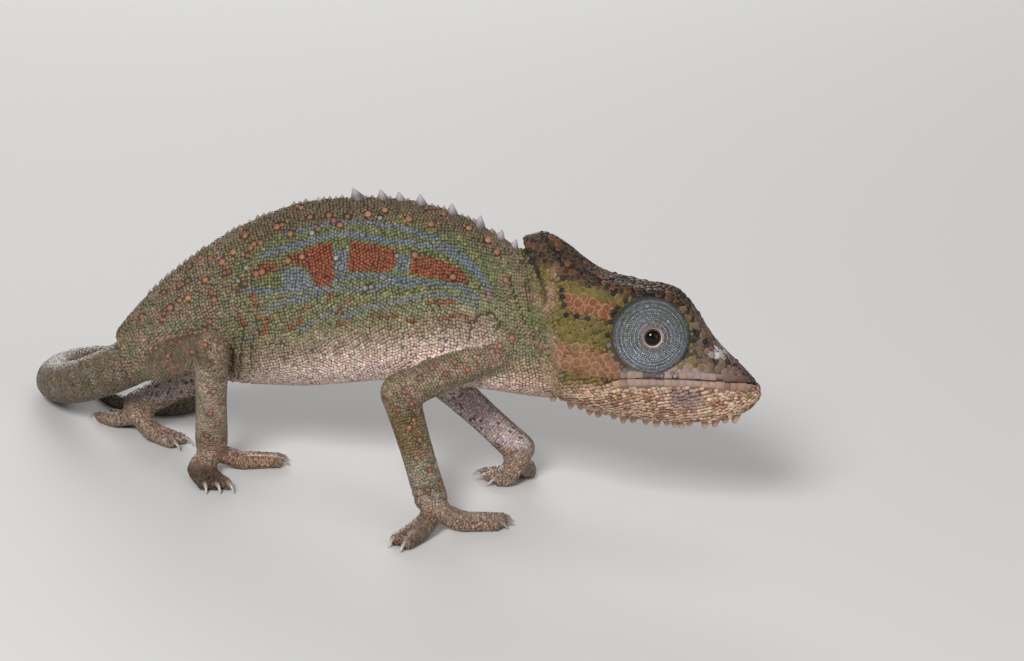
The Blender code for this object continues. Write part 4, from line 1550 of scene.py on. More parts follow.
@dataclass
class Eye:
    """One eye: a turret of skin in rings of granules, with a small round opening on the eyeball."""

    name: str
    way: int
    centre: tuple = (0.01305, 0.0026, 0.0002)
    axis: tuple = (0.18, 1.0, 0.06)
    turret: tuple = (
        (0.0, 1.50), (0.40, 1.50), (0.78, 1.52), (0.80, 1.9), (0.80, 2.3), (0.83, 2.44), (0.92, 2.53),
        (1.05, 2.55), (1.2, 2.50), (1.4, 2.45), (1.6, 2.39), (1.9, 2.24), (2.2, 2.08), (2.55, 1.84),
        (2.9, 1.55), (3.15, 1.27), (3.28, 1.02), (3.36, 1.06), (3.46, 0.92), (3.55, 0.62), (3.60, 0.52),
        (3.68, 0.45),
        (3.74, 0.2), (3.76, -0.2), (3.72, -1.35), (2.0, -1.38), (0.0, -1.38),
    )
    ball: tuple = (
        (0.0, 2.66), (0.15, 2.655), (0.3, 2.63), (0.45, 2.58), (0.6, 2.49), (0.70, 2.39), (0.77, 2.25),
        (0.78, 2.0), (0.78, 1.6), (0.4, 1.56), (0.0, 1.56),
    )
    lid_rim: tuple = (0.74, 0.54, 0.45)
    iris_tint: tuple = (0.10, 0.050, 0.032)
    pupil_tint: tuple = (0.002, 0.002, 0.002)
    lit_below_tint: tuple = (0.235, 0.260, 0.290)
    inner_tint: tuple = (0.150, 0.120, 0.140)
    green_tint: tuple = (0.110, 0.130, 0.085)
    granule_pitch: float = 0.000205
    sink: float = 0.00002
    first_ring: float = 0.98
    last_ring: float = 3.62
    pupil: float = 0.67
    iris: float = 0.75

    def frame(self) -> np.ndarray:
        """Finds two directions across the eye, and its axis.

        Returns:
            Three directions over the floor, one a row.
        """
        axis = np.array([self.axis[0], self.way * self.axis[1], self.axis[2]])
        axis /= np.linalg.norm(axis)
        across = np.cross((0.0, 0.0, 1.0), axis)
        across /= np.linalg.norm(across)
        return np.stack([across, np.cross(axis, across), axis]) @ STANCE.axes()

    def middle(self) -> np.ndarray:
        """The eye's centre over the floor."""
        return STANCE.over_floor(np.array([self.centre[0], self.way * self.centre[1], self.centre[2]]))

    def turned(self, radius: np.ndarray, height: np.ndarray, turn: np.ndarray) -> np.ndarray:
        """Points at a radius and height, turned round the axis.

        Args:
            radius: from the axis, in millimetres.
            height: along it, in millimetres.
            turn: angles round it.

        Returns:
            Points over the floor.
        """
        radius, height, turn = np.broadcast_arrays(radius, height, turn)
        flat = np.stack([radius * np.cos(turn), radius * np.sin(turn), height], -1) * MM
        return self.middle() + flat @ self.frame()

    def revolve(self, profile: tuple, around: int, fine: int) -> tuple[np.ndarray, list]:
        """A closed surface of revolution: a smooth profile turned round the axis.

        Args:
            profile: radius and height of its points.
            around: points in each ring.
            fine: how many rings.

        Returns:
            The points and the faces.
        """
        rows = smooth(np.array(profile), np.linspace(0, len(profile) - 1, fine))
        rows[:, 0] = np.maximum(rows[:, 0], 0.004)
        turn = np.arange(around) / around * 2 * math.pi
        points = self.turned(rows[:, :1], rows[:, 1:], turn[None])
        return closed_rings(points.reshape(-1, 3), fine, around)

    def build(self, markings: "Markings", rng: np.random.Generator) -> None:
        """The turret, its granules and the eyeball.

        Args:
            markings: the animal's colours.
            rng: source of small differences.
        """
        finish = HideFinish("turret_skin", 0.55, 0.15, 0.25).material()
        points, faces = self.revolve(self.turret, 72, 110)
        turret = new_object(f"turret_{self.name}", new_mesh(f"turret_{self.name}", points, faces))
        face_out(turret.data)
        turret.data.shade_smooth()
        radius, _ = self.polar(points)
        rim = 1 - soft_step(0.87, 0.91, radius)
        # Painted dark under the granules: partly the turret's own skin, partly painted shade between the
        # granules.
        under = np.tile(np.array(markings.turret) * 0.30, (len(points), 1))
        paint(turret.data, blend_colour(under, self.lid_rim, rim))
        turret.data.materials.append(finish)
        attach(turret, "root")
        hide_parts(f"eye_turret_{self.name}")
        self.granules(markings, rng)
        points, faces = self.revolve(self.ball, 48, 40)
        ball = new_object(f"eyeball_{self.name}", new_mesh(f"eyeball_{self.name}", points, faces))
        face_out(ball.data)
        ball.data.shade_smooth()
        radius, _ = self.polar(points)
        inner = soft_step(self.pupil - 0.02, self.pupil + 0.03, radius)
        ring = inner * (1 - soft_step(self.iris, self.iris + 0.04, radius))
        paint(ball.data, blend_colour(np.tile(self.pupil_tint, (len(points), 1)), self.iris_tint, ring))
        ball.data.materials.append(EyeFinish().material())
        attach(ball, "root")
        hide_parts(f"eye_{self.name}")
        LOG.info("eye %s", self.name)

    def polar(self, points: np.ndarray) -> tuple[np.ndarray, np.ndarray]:
        """Radius from the axis and height along it, in millimetres."""
        local = (points - self.middle()) @ self.frame().T / MM
        return np.hypot(local[:, 0], local[:, 1]), local[:, 2]

    def granules(self, markings: "Markings", rng: np.random.Generator) -> None:
        """Rings of granules on the turret: each ring set on the profile, a pitch outside the last.

        Args:
            markings: the animal's colours.
            rng: source of small differences.
        """
        fine = smooth(np.array(self.turret), np.linspace(0, len(self.turret) - 1, 1200))
        outer = (fine[:, 1] > 0) & (fine[:, 0] > self.first_ring) & (fine[:, 0] < self.last_ring)
        line = fine[outer]
        length = np.concatenate([[0], np.cumsum(np.linalg.norm(np.diff(line, axis=0), axis=1))])
        rings = np.arange(0, length[-1], self.granule_pitch / MM * 0.93)
        radii, heights = np.interp(rings, length, line[:, 0]), np.interp(rings, length, line[:, 1])
        slope = np.stack([np.gradient(radii), np.gradient(heights)], 1)
        slope /= np.linalg.norm(slope, axis=1)[:, None]
        radius, height, turn, outward = [], [], [], []
        for number, (r, h) in enumerate(zip(radii, heights)):
            count = int(2 * math.pi * r / (self.granule_pitch / MM))
            radius.append(np.full(count, r))
            height.append(np.full(count, h))
            at = np.arange(count) + 0.5 * (number % 2) + rng.normal(0, 0.08, count)
            turn.append(at / count * 2 * math.pi)
            outward.append(np.tile([-slope[number, 1], slope[number, 0]], (count, 1)))
        radius, height, turn, outward = (np.concatenate(part) for part in (radius, height, turn, outward))
        place = self.turned(radius, height, turn)
        straight = np.stack([np.cos(turn), np.sin(turn), 0 * turn], 1) @ self.frame()
        normal = straight * outward[:, :1] + self.frame()[2] * outward[:, 1:]
        across = np.stack([-np.sin(turn), np.cos(turn), 0 * turn], 1) @ self.frame()
        size = np.stack([np.full(len(turn), self.granule_pitch), np.full(len(turn), 0.82)], 1)
        noise = rng.normal(0, 0.5, len(turn))
        base = np.tile(np.array(markings.turret), (len(turn), 1))
        # Painted light: the granules on the turret's lower side are paler, as light falls there.
        base = blend_colour(base, self.lit_below_tint, soft_step(0.5, -2.5, np.sin(turn) * radius) * 0.8)
        base = blend_colour(base, self.inner_tint, (1 - soft_step(1.1, 1.9, radius)) * 0.85)
        green = soft_step(0.3, 1.0, np.sin(turn * 3 + radius * 2.2))
        base = blend_colour(base, self.green_tint, green * 0.4)
        # Rings of darker and paler granules: partly the turret's own rings, partly painted shade in the
        # grooves between them.
        waves = 0.78 + 0.30 * np.cos(radius / 0.36 * 2 * math.pi + 0.6 + 0.5 * np.sin(turn * 2 + 1))
        # Darker at the outer edge, and painted shade: darker on the turret's upper side.
        shade = 1 - 0.50 * soft_step(3.2, 3.6, radius) - 0.22 * soft_step(0.0, 2.6, np.sin(turn) * radius)
        base = base * (1.40 * waves * shade * np.exp(noise * 0.45))[:, None]
        chart = 0.5 + np.stack([np.cos(turn), np.sin(turn)], 1) * (radius / self.last_ring * 0.48)[:, None]
        shape = np.tile(np.array(Kind.GRANULE.value), (len(turn), 1))
        # The granules' feet at 0.30 of their colour: partly dark lines between them, partly painted shade in
        # the gaps.
        batch = ScaleBatch(place - normal * self.sink, normal, across, size, shape, base, base * 0.30, chart)
        piece = new_object(f"coat_turret_{self.name}", batch.mesh(f"coat_turret_{self.name}", rng))
        finish = HideFinish("turret_granules", 0.5, 0.2, 0.2, specular=0.35, bordered=True)
        piece.data.materials.append(finish.material())
        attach(piece, "root")


@dataclass
class Chameleon:
    """The whole animal: its flesh surfaces, skin, coat, crests, eyes and claws."""

    markings: Markings = field(default_factory=Markings)
    trunk: Trunk = field(default_factory=Trunk)
    head: Head = field(default_factory=Head)
    tail: Tail = field(default_factory=Tail)
    trunk_pitch: float = 0.00033
    head_pitch: float = 0.00037
    plate_pitch: float = 0.00078
    small_plate_pitch: float = 0.00062
    lip_pitch: float = 0.00078
    lip_slenderness: float = 1.02
    chin_stretch: tuple = (0.88, 1.5)
    lip_step: float = 7.4
    lip_rise: float = 4.0
    limb_pitch: float = 0.00031
    toe_pitch: float = 0.00030
    tail_pitch: float = 0.00038
    limbs: tuple = (
        Limb("arm_right", ((-0.8, -2.6, 16.0, 1.9), (-9.0, -6.6, 11.7, 1.85), (-4.7, -9.0, 2.9, 1.6),
                           (-3.9, -9.4, 1.9, 1.3)),
             ((-1.2, -7.1, 1.7, -5.1), (-1.1, -7.9, 1.9, -6.1), (-1.5, -8.6, 1.4, -7.1),
              (-5.6, -12.2, -6.8, -15.0), (-4.8, -12.7, -5.7, -15.6))),
        Limb("arm_left", ((-1.4, 1.9, 14.2, 1.9), (-6.4, 8.0, 8.6, 1.8), (1.5, 7.2, 3.3, 1.6),
                          (1.5, 6.7, 2.1, 1.3)),
             ((0.3, 6.9, -1.3, 6.8), (0.5, 6.1, -0.8, 5.8), (1.1, 5.6, 0.2, 5.0),
              (2.6, 8.6, 2.4, 10.6), (1.7, 8.9, 1.2, 10.9))),
        Limb("leg_right", ((-32.4, -2.1, 9.7, 2.2), (-26.7, -7.6, 13.3, 1.75), (-26.4, -3.4, 2.9, 1.6),
                           (-26.3, -3.2, 2.0, 1.3)),
             ((-23.6, -0.4, -20.7, 1.6), (-23.4, -1.3, -20.5, 0.5),
              (-26.7, -5.8, -24.9, -8.3), (-25.9, -5.6, -23.9, -7.7), (-27.4, -5.3, -25.9, -8.7))),
        Limb("leg_left", ((-32.4, 1.0, 8.8, 2.1), (-27.8, 7.2, 7.4, 1.75), (-35.0, 4.2, 2.7, 1.5),
                          (-35.0, 4.0, 1.9, 1.2)),
             ((-32.6, 3.2, -30.2, 2.6), (-33.1, 2.3, -31.0, 1.1),
              (-36.5, 5.2, -37.6, 6.5), (-35.6, 5.6, -36.0, 7.0), (-37.2, 4.5, -38.7, 5.2))),
    )
    eyes: tuple = (Eye("right", -1), Eye("left", 1))
    mouth_sunk: float = -0.00004
    mouth_radius: float = 0.00006
    crest: tuple = ((-27.8, 8.2), (-24.7, 10.1), (-21.5, 11.4), (-18.2, 12.3), (-14.9, 13.2), (-12.3, 13.1),
                    (-10.6, 12.9), (-8.6, 12.7), (-5.6, 11.9), (-2.9, 10.8), (-0.9, 9.5), (0.4, 8.6))
    crest_height: float = 0.00085
    crest_radius: float = 0.00078
    halo_reach: float = 0.00075
    halo: tuple = (0.125, 0.062, 0.040)
    plate_rim: tuple = (0.34, 0.21, 0.14)
    temple_rim: tuple = (0.26, 0.22, 0.075)
    # Shares of colour kept on the skin between scales and at each scale's foot, by part: partly the darker
    # skin there, partly painted shade in the gaps.
    between: tuple = (0.36, 0.46, 0.50, 0.38)
    crevice: tuple = (0.52, 0.40, 0.52, 0.48)
    blue_border: tuple = (0.056, 0.066, 0.090)
    throat: tuple = (553.6, 571.4, 581.3, 590.2, 599.1, 614.3, 624.1, 633.9, 646.4, 657.1, 667.0, 675.0,
                     682.1, 689.3, 705.4, 715.2, 725.0, 735.7, 742.0)
    orange_studs: tuple = (
        (254, 244), (277, 227), (290, 234), (310, 217), (329, 215), (340, 225), (368, 214),
        (385, 210), (409, 219), (431, 224), (453, 277), (415, 255), (302, 257), (288, 261),
        (469, 228), (245, 236), (262, 272), (256, 274), (506, 280), (497, 252), (488, 240),
        (222, 262), (205, 280), (188, 298), (214, 300), (233, 252), (170, 308), (420, 378),
        (432, 368), (446, 374), (455, 362), (468, 370), (478, 358), (492, 352), (405, 392),
        (398, 410), (412, 404), (409, 428), (420, 440), (417, 458), (430, 470), (428, 490),
        (440, 484), (434, 504), (414, 420), (205, 345), (192, 352), (180, 342), (168, 356),
        (156, 348), (216, 340), (226, 344), (230, 352), (228, 362), (229, 372), (222, 380),
        (214, 392), (222, 402), (210, 414), (218, 424), (207, 436), (500, 346), (512, 338),
    )
    pale_studs: tuple = ((246, 268), (336, 258), (397, 256), (380, 218), (312, 233), (365, 288),
                         (371, 287), (238, 281))
    dark_studs: tuple = (
        (545, 240), (553, 248), (558, 256), (562, 264), (572, 267), (583, 271), (597, 278),
        (612, 279), (622, 281), (632, 284), (563, 278), (562, 290), (563, 297), (565, 305),
        (566, 315), (577, 316), (588, 319), (608, 285), (613, 294), (614, 312), (610, 322),
        (697, 334), (705, 342), (735, 365), (728, 362), (600, 263), (590, 258), (580, 251),
        (570, 244), (560, 237), (551, 233), (541, 234), (533, 240), (530, 250), (532, 262),
        (538, 272),
    )
    # The last tint, pale blue-grey, is for the lower ring round each eye: partly its own colour, partly
    # painted sheen.
    stud_tints: tuple = ((0.235, 0.105, 0.056), (0.20, 0.18, 0.17), (0.026, 0.022, 0.025),
                         (0.18, 0.085, 0.050), (0.125, 0.125, 0.138))
    plate_patches: tuple = (
        Outline(((566, 296), (592, 296), (614, 308), (612, 320), (590, 316), (566, 310))),
        Outline(((552, 346), (580, 346), (606, 354), (622, 366), (616, 377), (580, 376), (556, 366))),
        Outline(((668, 366), (690, 358), (706, 362), (706, 376), (670, 375))),
    )
    upper_head: Outline = Outline((
        (520, 226), (556, 222), (610, 258), (690, 276), (765, 372), (756, 379), (700, 377), (640, 375),
        (616, 379), (585, 378), (556, 366), (550, 340), (552, 300), (534, 270),
    ))
    temple_box: tuple = (560, 700, 344)
    settle_reach: float = 0.00035
    large_size: float = 0.00045
    large_share: float = 0.31
    mixed_share: float = 0.39
    small_share: float = 0.56
    turret_reach: tuple = (3.72, -1.2)
    chart_width: float = 0.014
    chart_length: float = 0.07
    chart_rear: float = 0.04
    throat_scale: float = 0.0000935
    slit_shade: tuple = (0.030, 0.018, 0.014)
    flesh: tuple = (
        "head", "lower_jaw", "neck", "torso", "tail_1", "tail_2", "tail_3", "tail_4", "tail_5", "tail_6",
        "tail_7", "tail_8", "upper_arm_right", "upper_arm_left", "forearm_right", "forearm_left",
        "thigh_right", "thigh_left", "shin_right", "shin_left", "hand_right", "hand_left", "foot_right",
        "foot_left",
    )

    def build_skin(self) -> bpy.types.Object:
        """The skin over all the flesh, with its colours.

        Returns:
            The skin.
        """
        self.tail_tube = self.tail.surface(self.trunk)
        surfaces: list[Surface] = [self.trunk, self.head, self.tail_tube]
        for limb in self.limbs:
            surfaces += limb.lengths() + limb.toe_tubes()
        shaper = Skin()
        skin = shaper.build(surfaces)
        points = points_of(skin.data)
        rng = np.random.default_rng(SEED)
        part = self.part_of(points)
        shaper.shape(skin.data, part)
        colours = self.colour_at(points, normals_of(skin.data), part, rng.normal(0, 0.28, len(points)))
        plates = self.plated(points)[:, None] * (part == 1)[:, None]
        rim = colours * 0.55 + np.array(self.plate_rim) * 0.45
        # Skin between scales darkened by part, partly its own colour and partly painted shade in the gaps;
        # under the head's plates it takes their pale rim colour.
        colours = colours * np.array(self.between)[part][:, None] * (1 - plates) + rim * plates
        pixels = VIEW.side_pixels(STANCE.in_body(points))
        # Painted shade: the slit of the closed mouth and the nostril's hole are painted near black.
        dark = Stripe(shaper.mouth, 0.9, 2.0).share(pixels) * (part == 1)
        dark = np.maximum(dark, shaper.at_nostril(pixels, 2.6))
        paint(skin.data, blend_colour(colours, self.slit_shade, dark * (part == 1)))
        skin.data.materials.append(HideFinish("hide_between_scales", 0.7, 0.1, 0.3, specular=0.15).material())
        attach(skin, "root")
        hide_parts(*self.flesh)
        LOG.info("skin: %d points", len(points))
        self.coat = Coat(skin)
        return skin

    def part_of(self, points: np.ndarray) -> np.ndarray:
        """0 trunk, 1 head, 2 limb, 3 tail: by the nearest centre line less its radius.

        Args:
            points: places over the floor.

        Returns:
            A number each.
        """
        body = STANCE.in_body(points) / MM
        nape = 1.3 + 0.168 * (7.4 - body[:, 2])
        part = np.where(body[:, 0] > nape, 1, 0)
        nearest = np.full(len(points), 0.0004)
        for number, tubes in ((2, [t for limb in self.limbs for t in limb.lengths() + limb.toe_tubes()]),
                              (3, [self.tail_tube])):
            for tube in tubes:
                for a, b, r in zip(tube.path, tube.path[1:], tube.radii):
                    way = b - a
                    t = np.clip(((points - a) @ way) / (way @ way + 1e-15), 0, 1)
                    away = np.linalg.norm(points - a - t[:, None] * way, axis=1) - r
                    closer = away < nearest
                    part[closer & (away < 0.0004)] = number
        inside = (body[:, 0] > -36.5) & (part == 3)
        part[inside] = 0
        return part

    def colour_at(self, points: np.ndarray, normal: np.ndarray, part: np.ndarray,
                  noise: np.ndarray) -> np.ndarray:
        """The colour of each place, by the part that it is on, in clouds made of three sine waves.

        Args:
            points: places over the floor.
            normal: which way the skin faces there.
            part: the number of the part that each is on.
            noise: a number about 0 for each.

        Returns:
            A colour each.
        """
        x, y, z = points.T / MM
        fleck = noise
        waves = np.sin(x * 2.1 + z * 1.3) + np.sin(z * 2.9 - x * 0.9 + 1)
        waves = waves + np.sin(x * 4.3 + y * 3.1 + z * 3.7)
        noise = noise + 0.22 * waves
        body = STANCE.in_body(points)
        pixels = VIEW.side_pixels(body)
        trunk = self.markings.of_body(pixels, body / MM, noise)
        nape = np.interp(pixels[:, 1], [235, 262, 300, 385], [520, 534, 545, 556])
        share = soft_step(-9, 9, pixels[:, 0] - nape + noise * 5)[:, None]
        colours = trunk * (1 - share) + self.markings.of_head(pixels, noise) * share
        colours *= 1 - 0.74 * self.markings.nape_shade.share(pixels)[:, None]
        turned = normal @ STANCE.axes().T
        limb, tail = part == 2, part == 3
        colours[limb] = self.markings.of_limb(*(some[limb] for some in (body, points, turned, noise, fleck)))
        colours[tail] = self.markings.of_tail(points[tail], noise[tail])
        return colours

    def studs(self, rng: np.random.Generator) -> Sites:
        """The large tubercles of body, limbs and head, set where the side view has them, on both sides.

        Args:
            rng: source of the scattered ones and of small shifts.

        Returns:
            Their places, with the tints and normals kept beside them.
        """
        spots = [(x, y, 0.00066 if y < 335 else 0.00052, 0) for x, y in self.orange_studs]
        spots += [(x, y, 0.00050, 1) for x, y in self.pale_studs]
        spots += [(x, y, 0.00060, 2) for x, y in self.dark_studs]
        for x, y in rng.uniform((130, 225), (262, 375), (46, 2)):
            spots.append((x, y, rng.uniform(0.00045, 0.00062), 3))
        for x, y in rng.uniform((262, 200), (520, 232), (20, 2)):
            spots.append((x, y, rng.uniform(0.00042, 0.0006), 3))
        found = []
        for x, y, size, tint in spots:
            for mirrored in (False, True):
                drift = rng.normal(0, 2.0, 2) if mirrored and tint != 2 else (0.0, 0.0)
                hit = self.coat.seen_at(x + drift[0], y + drift[1], mirrored)
                if hit is not None and hit[0].z > 0.004:
                    found.append((*hit[0], *hit[1], size, tint))
        ring = np.linspace(0, 2 * math.pi, 27, endpoint=False) + 0.1
        for eye in self.eyes:
            for angle, place in zip(ring, eye.turned(np.full(27, 4.05), np.full(27, 0.6), ring)):
                spot, normal, _, away = self.coat.tree.find_nearest(place)
                if away < 0.002:
                    # Ring round the eye: dark above, pale blue-grey below, partly its own colour and partly
                    # painted sheen and light.
                    found.append((*spot, *normal, 0.00050, 2 if math.sin(angle) > -0.2 else 4))
        found = np.array(found)
        self.stud_normal, self.stud_tint = found[:, 3:6], found[:, 7].astype(int)
        ahead = np.tile(STANCE.axes()[0], (len(found), 1))
        return Sites(found[:, :3], ahead, found[:, 6], *self.chart_of(found[:, :3]))

    def chart_of(self, points: np.ndarray) -> np.ndarray:
        """Places in the chart, as shares of the width across the animal and of the length along it.

        Args:
            points: places over the floor.

        Returns:
            The two shares of each, as two rows.
        """
        body = STANCE.in_body(points)
        along = (body[:, 0] + self.chart_rear) / self.chart_length
        return np.stack([0.5 + body[:, 1] / self.chart_width, along])

    def lip_plates(self) -> Sites:
        """A row of plates above and below the line of the mouth, on both sides.

        Returns:
            Their places, with the normals kept beside them.
        """
        line = np.array(Skin().mouth, float)[::-1]
        length = np.concatenate([[0], np.cumsum(np.linalg.norm(np.diff(line, axis=0), axis=1))])
        found = []
        for at in np.arange(12, length[-1] - 2, self.lip_step):
            x, y = (np.interp(at, length, line[:, k]) for k in (0, 1))
            ahead = np.interp(at + 2, length, line[:, 1]) - np.interp(at - 2, length, line[:, 1])
            for rise in (-self.lip_rise, self.lip_rise):
                for mirrored in (False, True):
                    hit = self.coat.seen_at(x, y + rise, mirrored)
                    after = self.coat.seen_at(x + 4, y + rise + ahead, mirrored)
                    if hit is not None and after is not None:
                        found.append((*hit[0], *hit[1], *(after[0] - hit[0]).normalized()))
        found = np.array(found)
        self.lip_normal = found[:, 3:6]
        pitch = np.full(len(found), self.lip_pitch)
        return Sites(found[:, :3], found[:, 6:], pitch, *self.chart_of(found[:, :3]))

    def build_coat(self) -> None:
        """Every scale, thinned where parts meet, as one mesh for each region."""
        rng = np.random.default_rng(SEED + 1)
        rows = []
        studs, lips = self.studs(rng), self.lip_plates()
        rows.append((studs, self.stud_normal, 4, Kind.TUBERCLE))
        rows.append((lips, self.lip_normal, 5, Kind.LIP))
        groups = [(self.head, self.plate_pitch, 6), (self.head, self.small_plate_pitch, 7),
                  (self.head, self.head_pitch, 1), (self.trunk, self.trunk_pitch, 0),
                  (self.tail_tube, self.tail_pitch, 3)]
        for limb in self.limbs:
            groups += [(tube, self.limb_pitch, 2) for tube in limb.lengths()]
            groups += [(tube, self.toe_pitch, 2) for tube in limb.toe_tubes()]
        for number, (surface, pitch, code) in enumerate(groups):
            sites = surface.rows(pitch, rng, 0.17 if surface is self.head else 0.5)
            where, normal, near = self.coat.settle(sites, self.settle_reach)
            sites.place = where
            if code == 6:
                near &= self.plated(where)
            if code in (1, 6, 7):
                pixels = VIEW.side_pixels(STANCE.in_body(where))
                if code == 7:
                    small = self.markings.crowned(pixels) | self.on_temple(pixels)
                    near &= (self.upper_head.share(pixels) > 0.5) & small
                hole = np.linalg.norm(pixels - np.array(Skin().nostril), axis=1) < 3.2
                near &= (Stripe(Skin().mouth, 0.9, 0.2).share(pixels) < 0.5) & ~hole
            if code == 2:
                sites.v = (sites.v + number) / len(groups)
            kind = Kind.PLATE if code in (6, 7) else Kind.GRANULE
            rows.append((sites.chosen(near), normal[near], code, kind))
        for eye in self.eyes:
            rows = [self.clear_of(eye, *row) for row in rows]
        place = np.concatenate([row[0].place for row in rows])
        across = np.concatenate([row[0].across for row in rows])
        pitch = np.concatenate([row[0].pitch for row in rows])
        chart = np.concatenate([np.stack([row[0].v, row[0].u], 1) for row in rows])
        normal = np.concatenate([row[1] for row in rows])
        code = np.concatenate([np.full(len(row[1]), row[2]) for row in rows])
        shape = np.concatenate([np.tile(np.array(row[3].value), (len(row[1]), 1)) for row in rows])
        stud = np.full(len(place), -1)
        stud[:len(rows[0][1])] = self.stud_tint
        kept = self.thinned(place, pitch)
        place, across, pitch, chart, normal, code, shape, stud = (
            some[kept] for some in (place, across, pitch, chart, normal, code, shape, stud))
        part = np.where(code >= 4, self.part_of(place), code)
        part = np.where(code >= 5, 1, part)
        noise = rng.normal(0, 0.28, len(place))
        colour = self.colour_at(place, normal, part, noise)
        self.add_halos(colour, place, stud)
        spread = np.select([code == 5, code > 5], [0.05, 0.10], 0.17)
        colour = colour * (1.06 * np.exp(rng.normal(0, 1, len(place)) * spread))[:, None]
        colour *= 1 + rng.normal(0, 0.045, (len(place), 3))
        for number, tint in enumerate(self.stud_tints):
            which = stud == number
            colour[which] = np.array(tint) * np.exp(rng.normal(0, 0.15, which.sum()))[:, None]
        body = STANCE.in_body(place)
        pixels = VIEW.side_pixels(body)
        low = (code == 0) & (pixels[:, 1] > 345)
        shape[low] = Kind.BELLY.value
        shape[stud == 2] = Kind.BEAD.value
        yellow = (code == 7) & self.on_temple(pixels) & ~self.markings.crowned(pixels)
        colour[yellow] *= np.array([0.80, 0.78, 0.80])
        rim = np.select([code == 6, code == 5, yellow, code == 7], [0.62, 0.45, 0.42, 0.20], 0.0)[:, None]
        border = np.where(yellow[:, None], np.array(self.temple_rim), np.array(self.plate_rim))
        # Scales' feet darkened by part, and on the belly, head and chin: partly the darker skin between
        # scales, partly painted shade in the gaps.
        deep = np.array(self.crevice)[part][:, None]
        deep[low], deep[code == 1], deep[(code == 1) & (pixels[:, 1] > 383)] = 0.38, 0.72, 0.30
        foot = np.where(rim > 0, colour * (1 - rim) + border * rim, colour * deep)
        foot = blend_colour(foot, self.blue_border, self.markings.blueness(pixels) * (part == 0) * 0.8)
        region = self.regions(part, body / MM)
        wide = pitch * np.exp(rng.normal(0, 0.06, len(pitch)))
        size = np.stack([wide, 0.96 + rng.normal(0, 0.04, len(pitch))], 1)
        size[code == 5, 1] *= self.lip_slenderness
        chin = (code == 1) & (pixels[:, 1] > 384 + noise * 4)
        size[chin] *= self.chin_stretch
        # Painted shade in the limbs' folds: scales along the fold lines are darkened.
        folds = np.max([fold.share(pixels) for fold in Skin().limb_folds], 0) * (part == 2)
        colour *= 1 - 0.42 * folds[:, None]
        finish = HideFinish("granular_scales", 0.46, 0.2, 0.25, specular=0.28, bordered=True).material()
        plated = HideFinish("head_plates", 0.55, 0.2, 0.30, specular=0.12, bordered=True).material()
        for number, name in enumerate(Region):
            which = region == number
            if not which.any():
                continue
            sunk = place - normal * self.coat.sink
            every = (sunk, normal, across, size, shape, colour, foot, chart)
            batch = ScaleBatch(*(some[which] for some in every))
            piece = new_object(name.value, batch.mesh(name.value, rng))
            piece.data.materials.append(plated if name in (Region.HEAD_RIGHT, Region.HEAD_LEFT) else finish)
            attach(piece, "root")
            LOG.info("%s: %d faces", name.value, len(piece.data.polygons))

    def add_halos(self, colour: np.ndarray, place: np.ndarray, stud: np.ndarray) -> None:
        """Reddens the scales round each orange tubercle, less with distance.

        Args:
            colour: the scales' colours, which it changes.
            place: where they are.
            stud: each one's tint, or -1.
        """
        tree = KDTree(len(place))
        for number, spot in enumerate(place):
            tree.insert(spot, number)
        tree.balance()
        for number in np.flatnonzero((stud == 0) | (stud == 3)):
            near = tree.find_range(place[number], self.halo_reach)
            which = np.array([other for _, other, _ in near])
            away = np.array([distance for _, _, distance in near])
            colour[which] = blend_colour(colour[which], self.halo, 0.6 - 0.5 * away / self.halo_reach)

    def plated(self, place: np.ndarray) -> np.ndarray:
        """Where the head has its large flat plates: temple, cheek and snout.

        Args:
            place: places over the floor.

        Returns:
            Whether each place is there.
        """
        pixels = VIEW.side_pixels(STANCE.in_body(place))
        share = np.zeros(len(place))
        for patch in self.plate_patches:
            share = np.maximum(share, patch.share(pixels))
        return share > 0.5

    def on_temple(self, pixels: np.ndarray) -> np.ndarray:
        """Whether each place is on the temple, behind the eye and above the cheek."""
        left, right, foot = self.temple_box
        return (pixels[:, 0] > left) & (pixels[:, 0] < right) & (pixels[:, 1] < foot)

    def clear_of(self, eye: Eye, sites: Sites, normal: np.ndarray, code: int, kind: Kind) -> tuple:
        """A row without the sites that an eye's turret covers.

        Args:
            eye: the eye.
            sites: the places.
            normal: their normals.
            code: the row's number.
            kind: their sort of scale.

        Returns:
            The row again.
        """
        radius, height = eye.polar(sites.place)
        free = (radius > self.turret_reach[0]) | (height < self.turret_reach[1])
        if code == 4:
            self.stud_tint = self.stud_tint[free]
        return sites.chosen(free), normal[free], code, kind

    def thinned(self, places: np.ndarray, size: np.ndarray) -> np.ndarray:
        """Which places stay: none nearer one that stays than a share of their pitches, the large ones first.

        Args:
            places: where they are.
            size: the pitch of each.

        Returns:
            Whether each one stays.
        """
        tree = KDTree(len(places))
        for number, place in enumerate(places):
            tree.insert(place, number)
        tree.balance()
        kept = np.ones(len(places), bool)
        large = np.flatnonzero(size > self.large_size)
        for number in large:
            if kept[number]:
                for _, other, away in tree.find_range(places[number], size[number] * 0.9):
                    reach = self.large_share if size[other] > self.large_size else self.mixed_share
                    if other > number and away < reach * (size[number] + size[other]):
                        kept[other] = False
        for number, place in enumerate(places):
            if kept[number] and size[number] <= self.large_size:
                for _, other, _ in tree.find_range(place, size[number] * self.small_share):
                    if other < number and kept[other]:
                        kept[number] = False
                        break
        return kept

    def build_eyes(self) -> None:
        """Both eyes."""
        rng = np.random.default_rng(SEED + 2)
        for eye in self.eyes:
            eye.build(self.markings, rng)

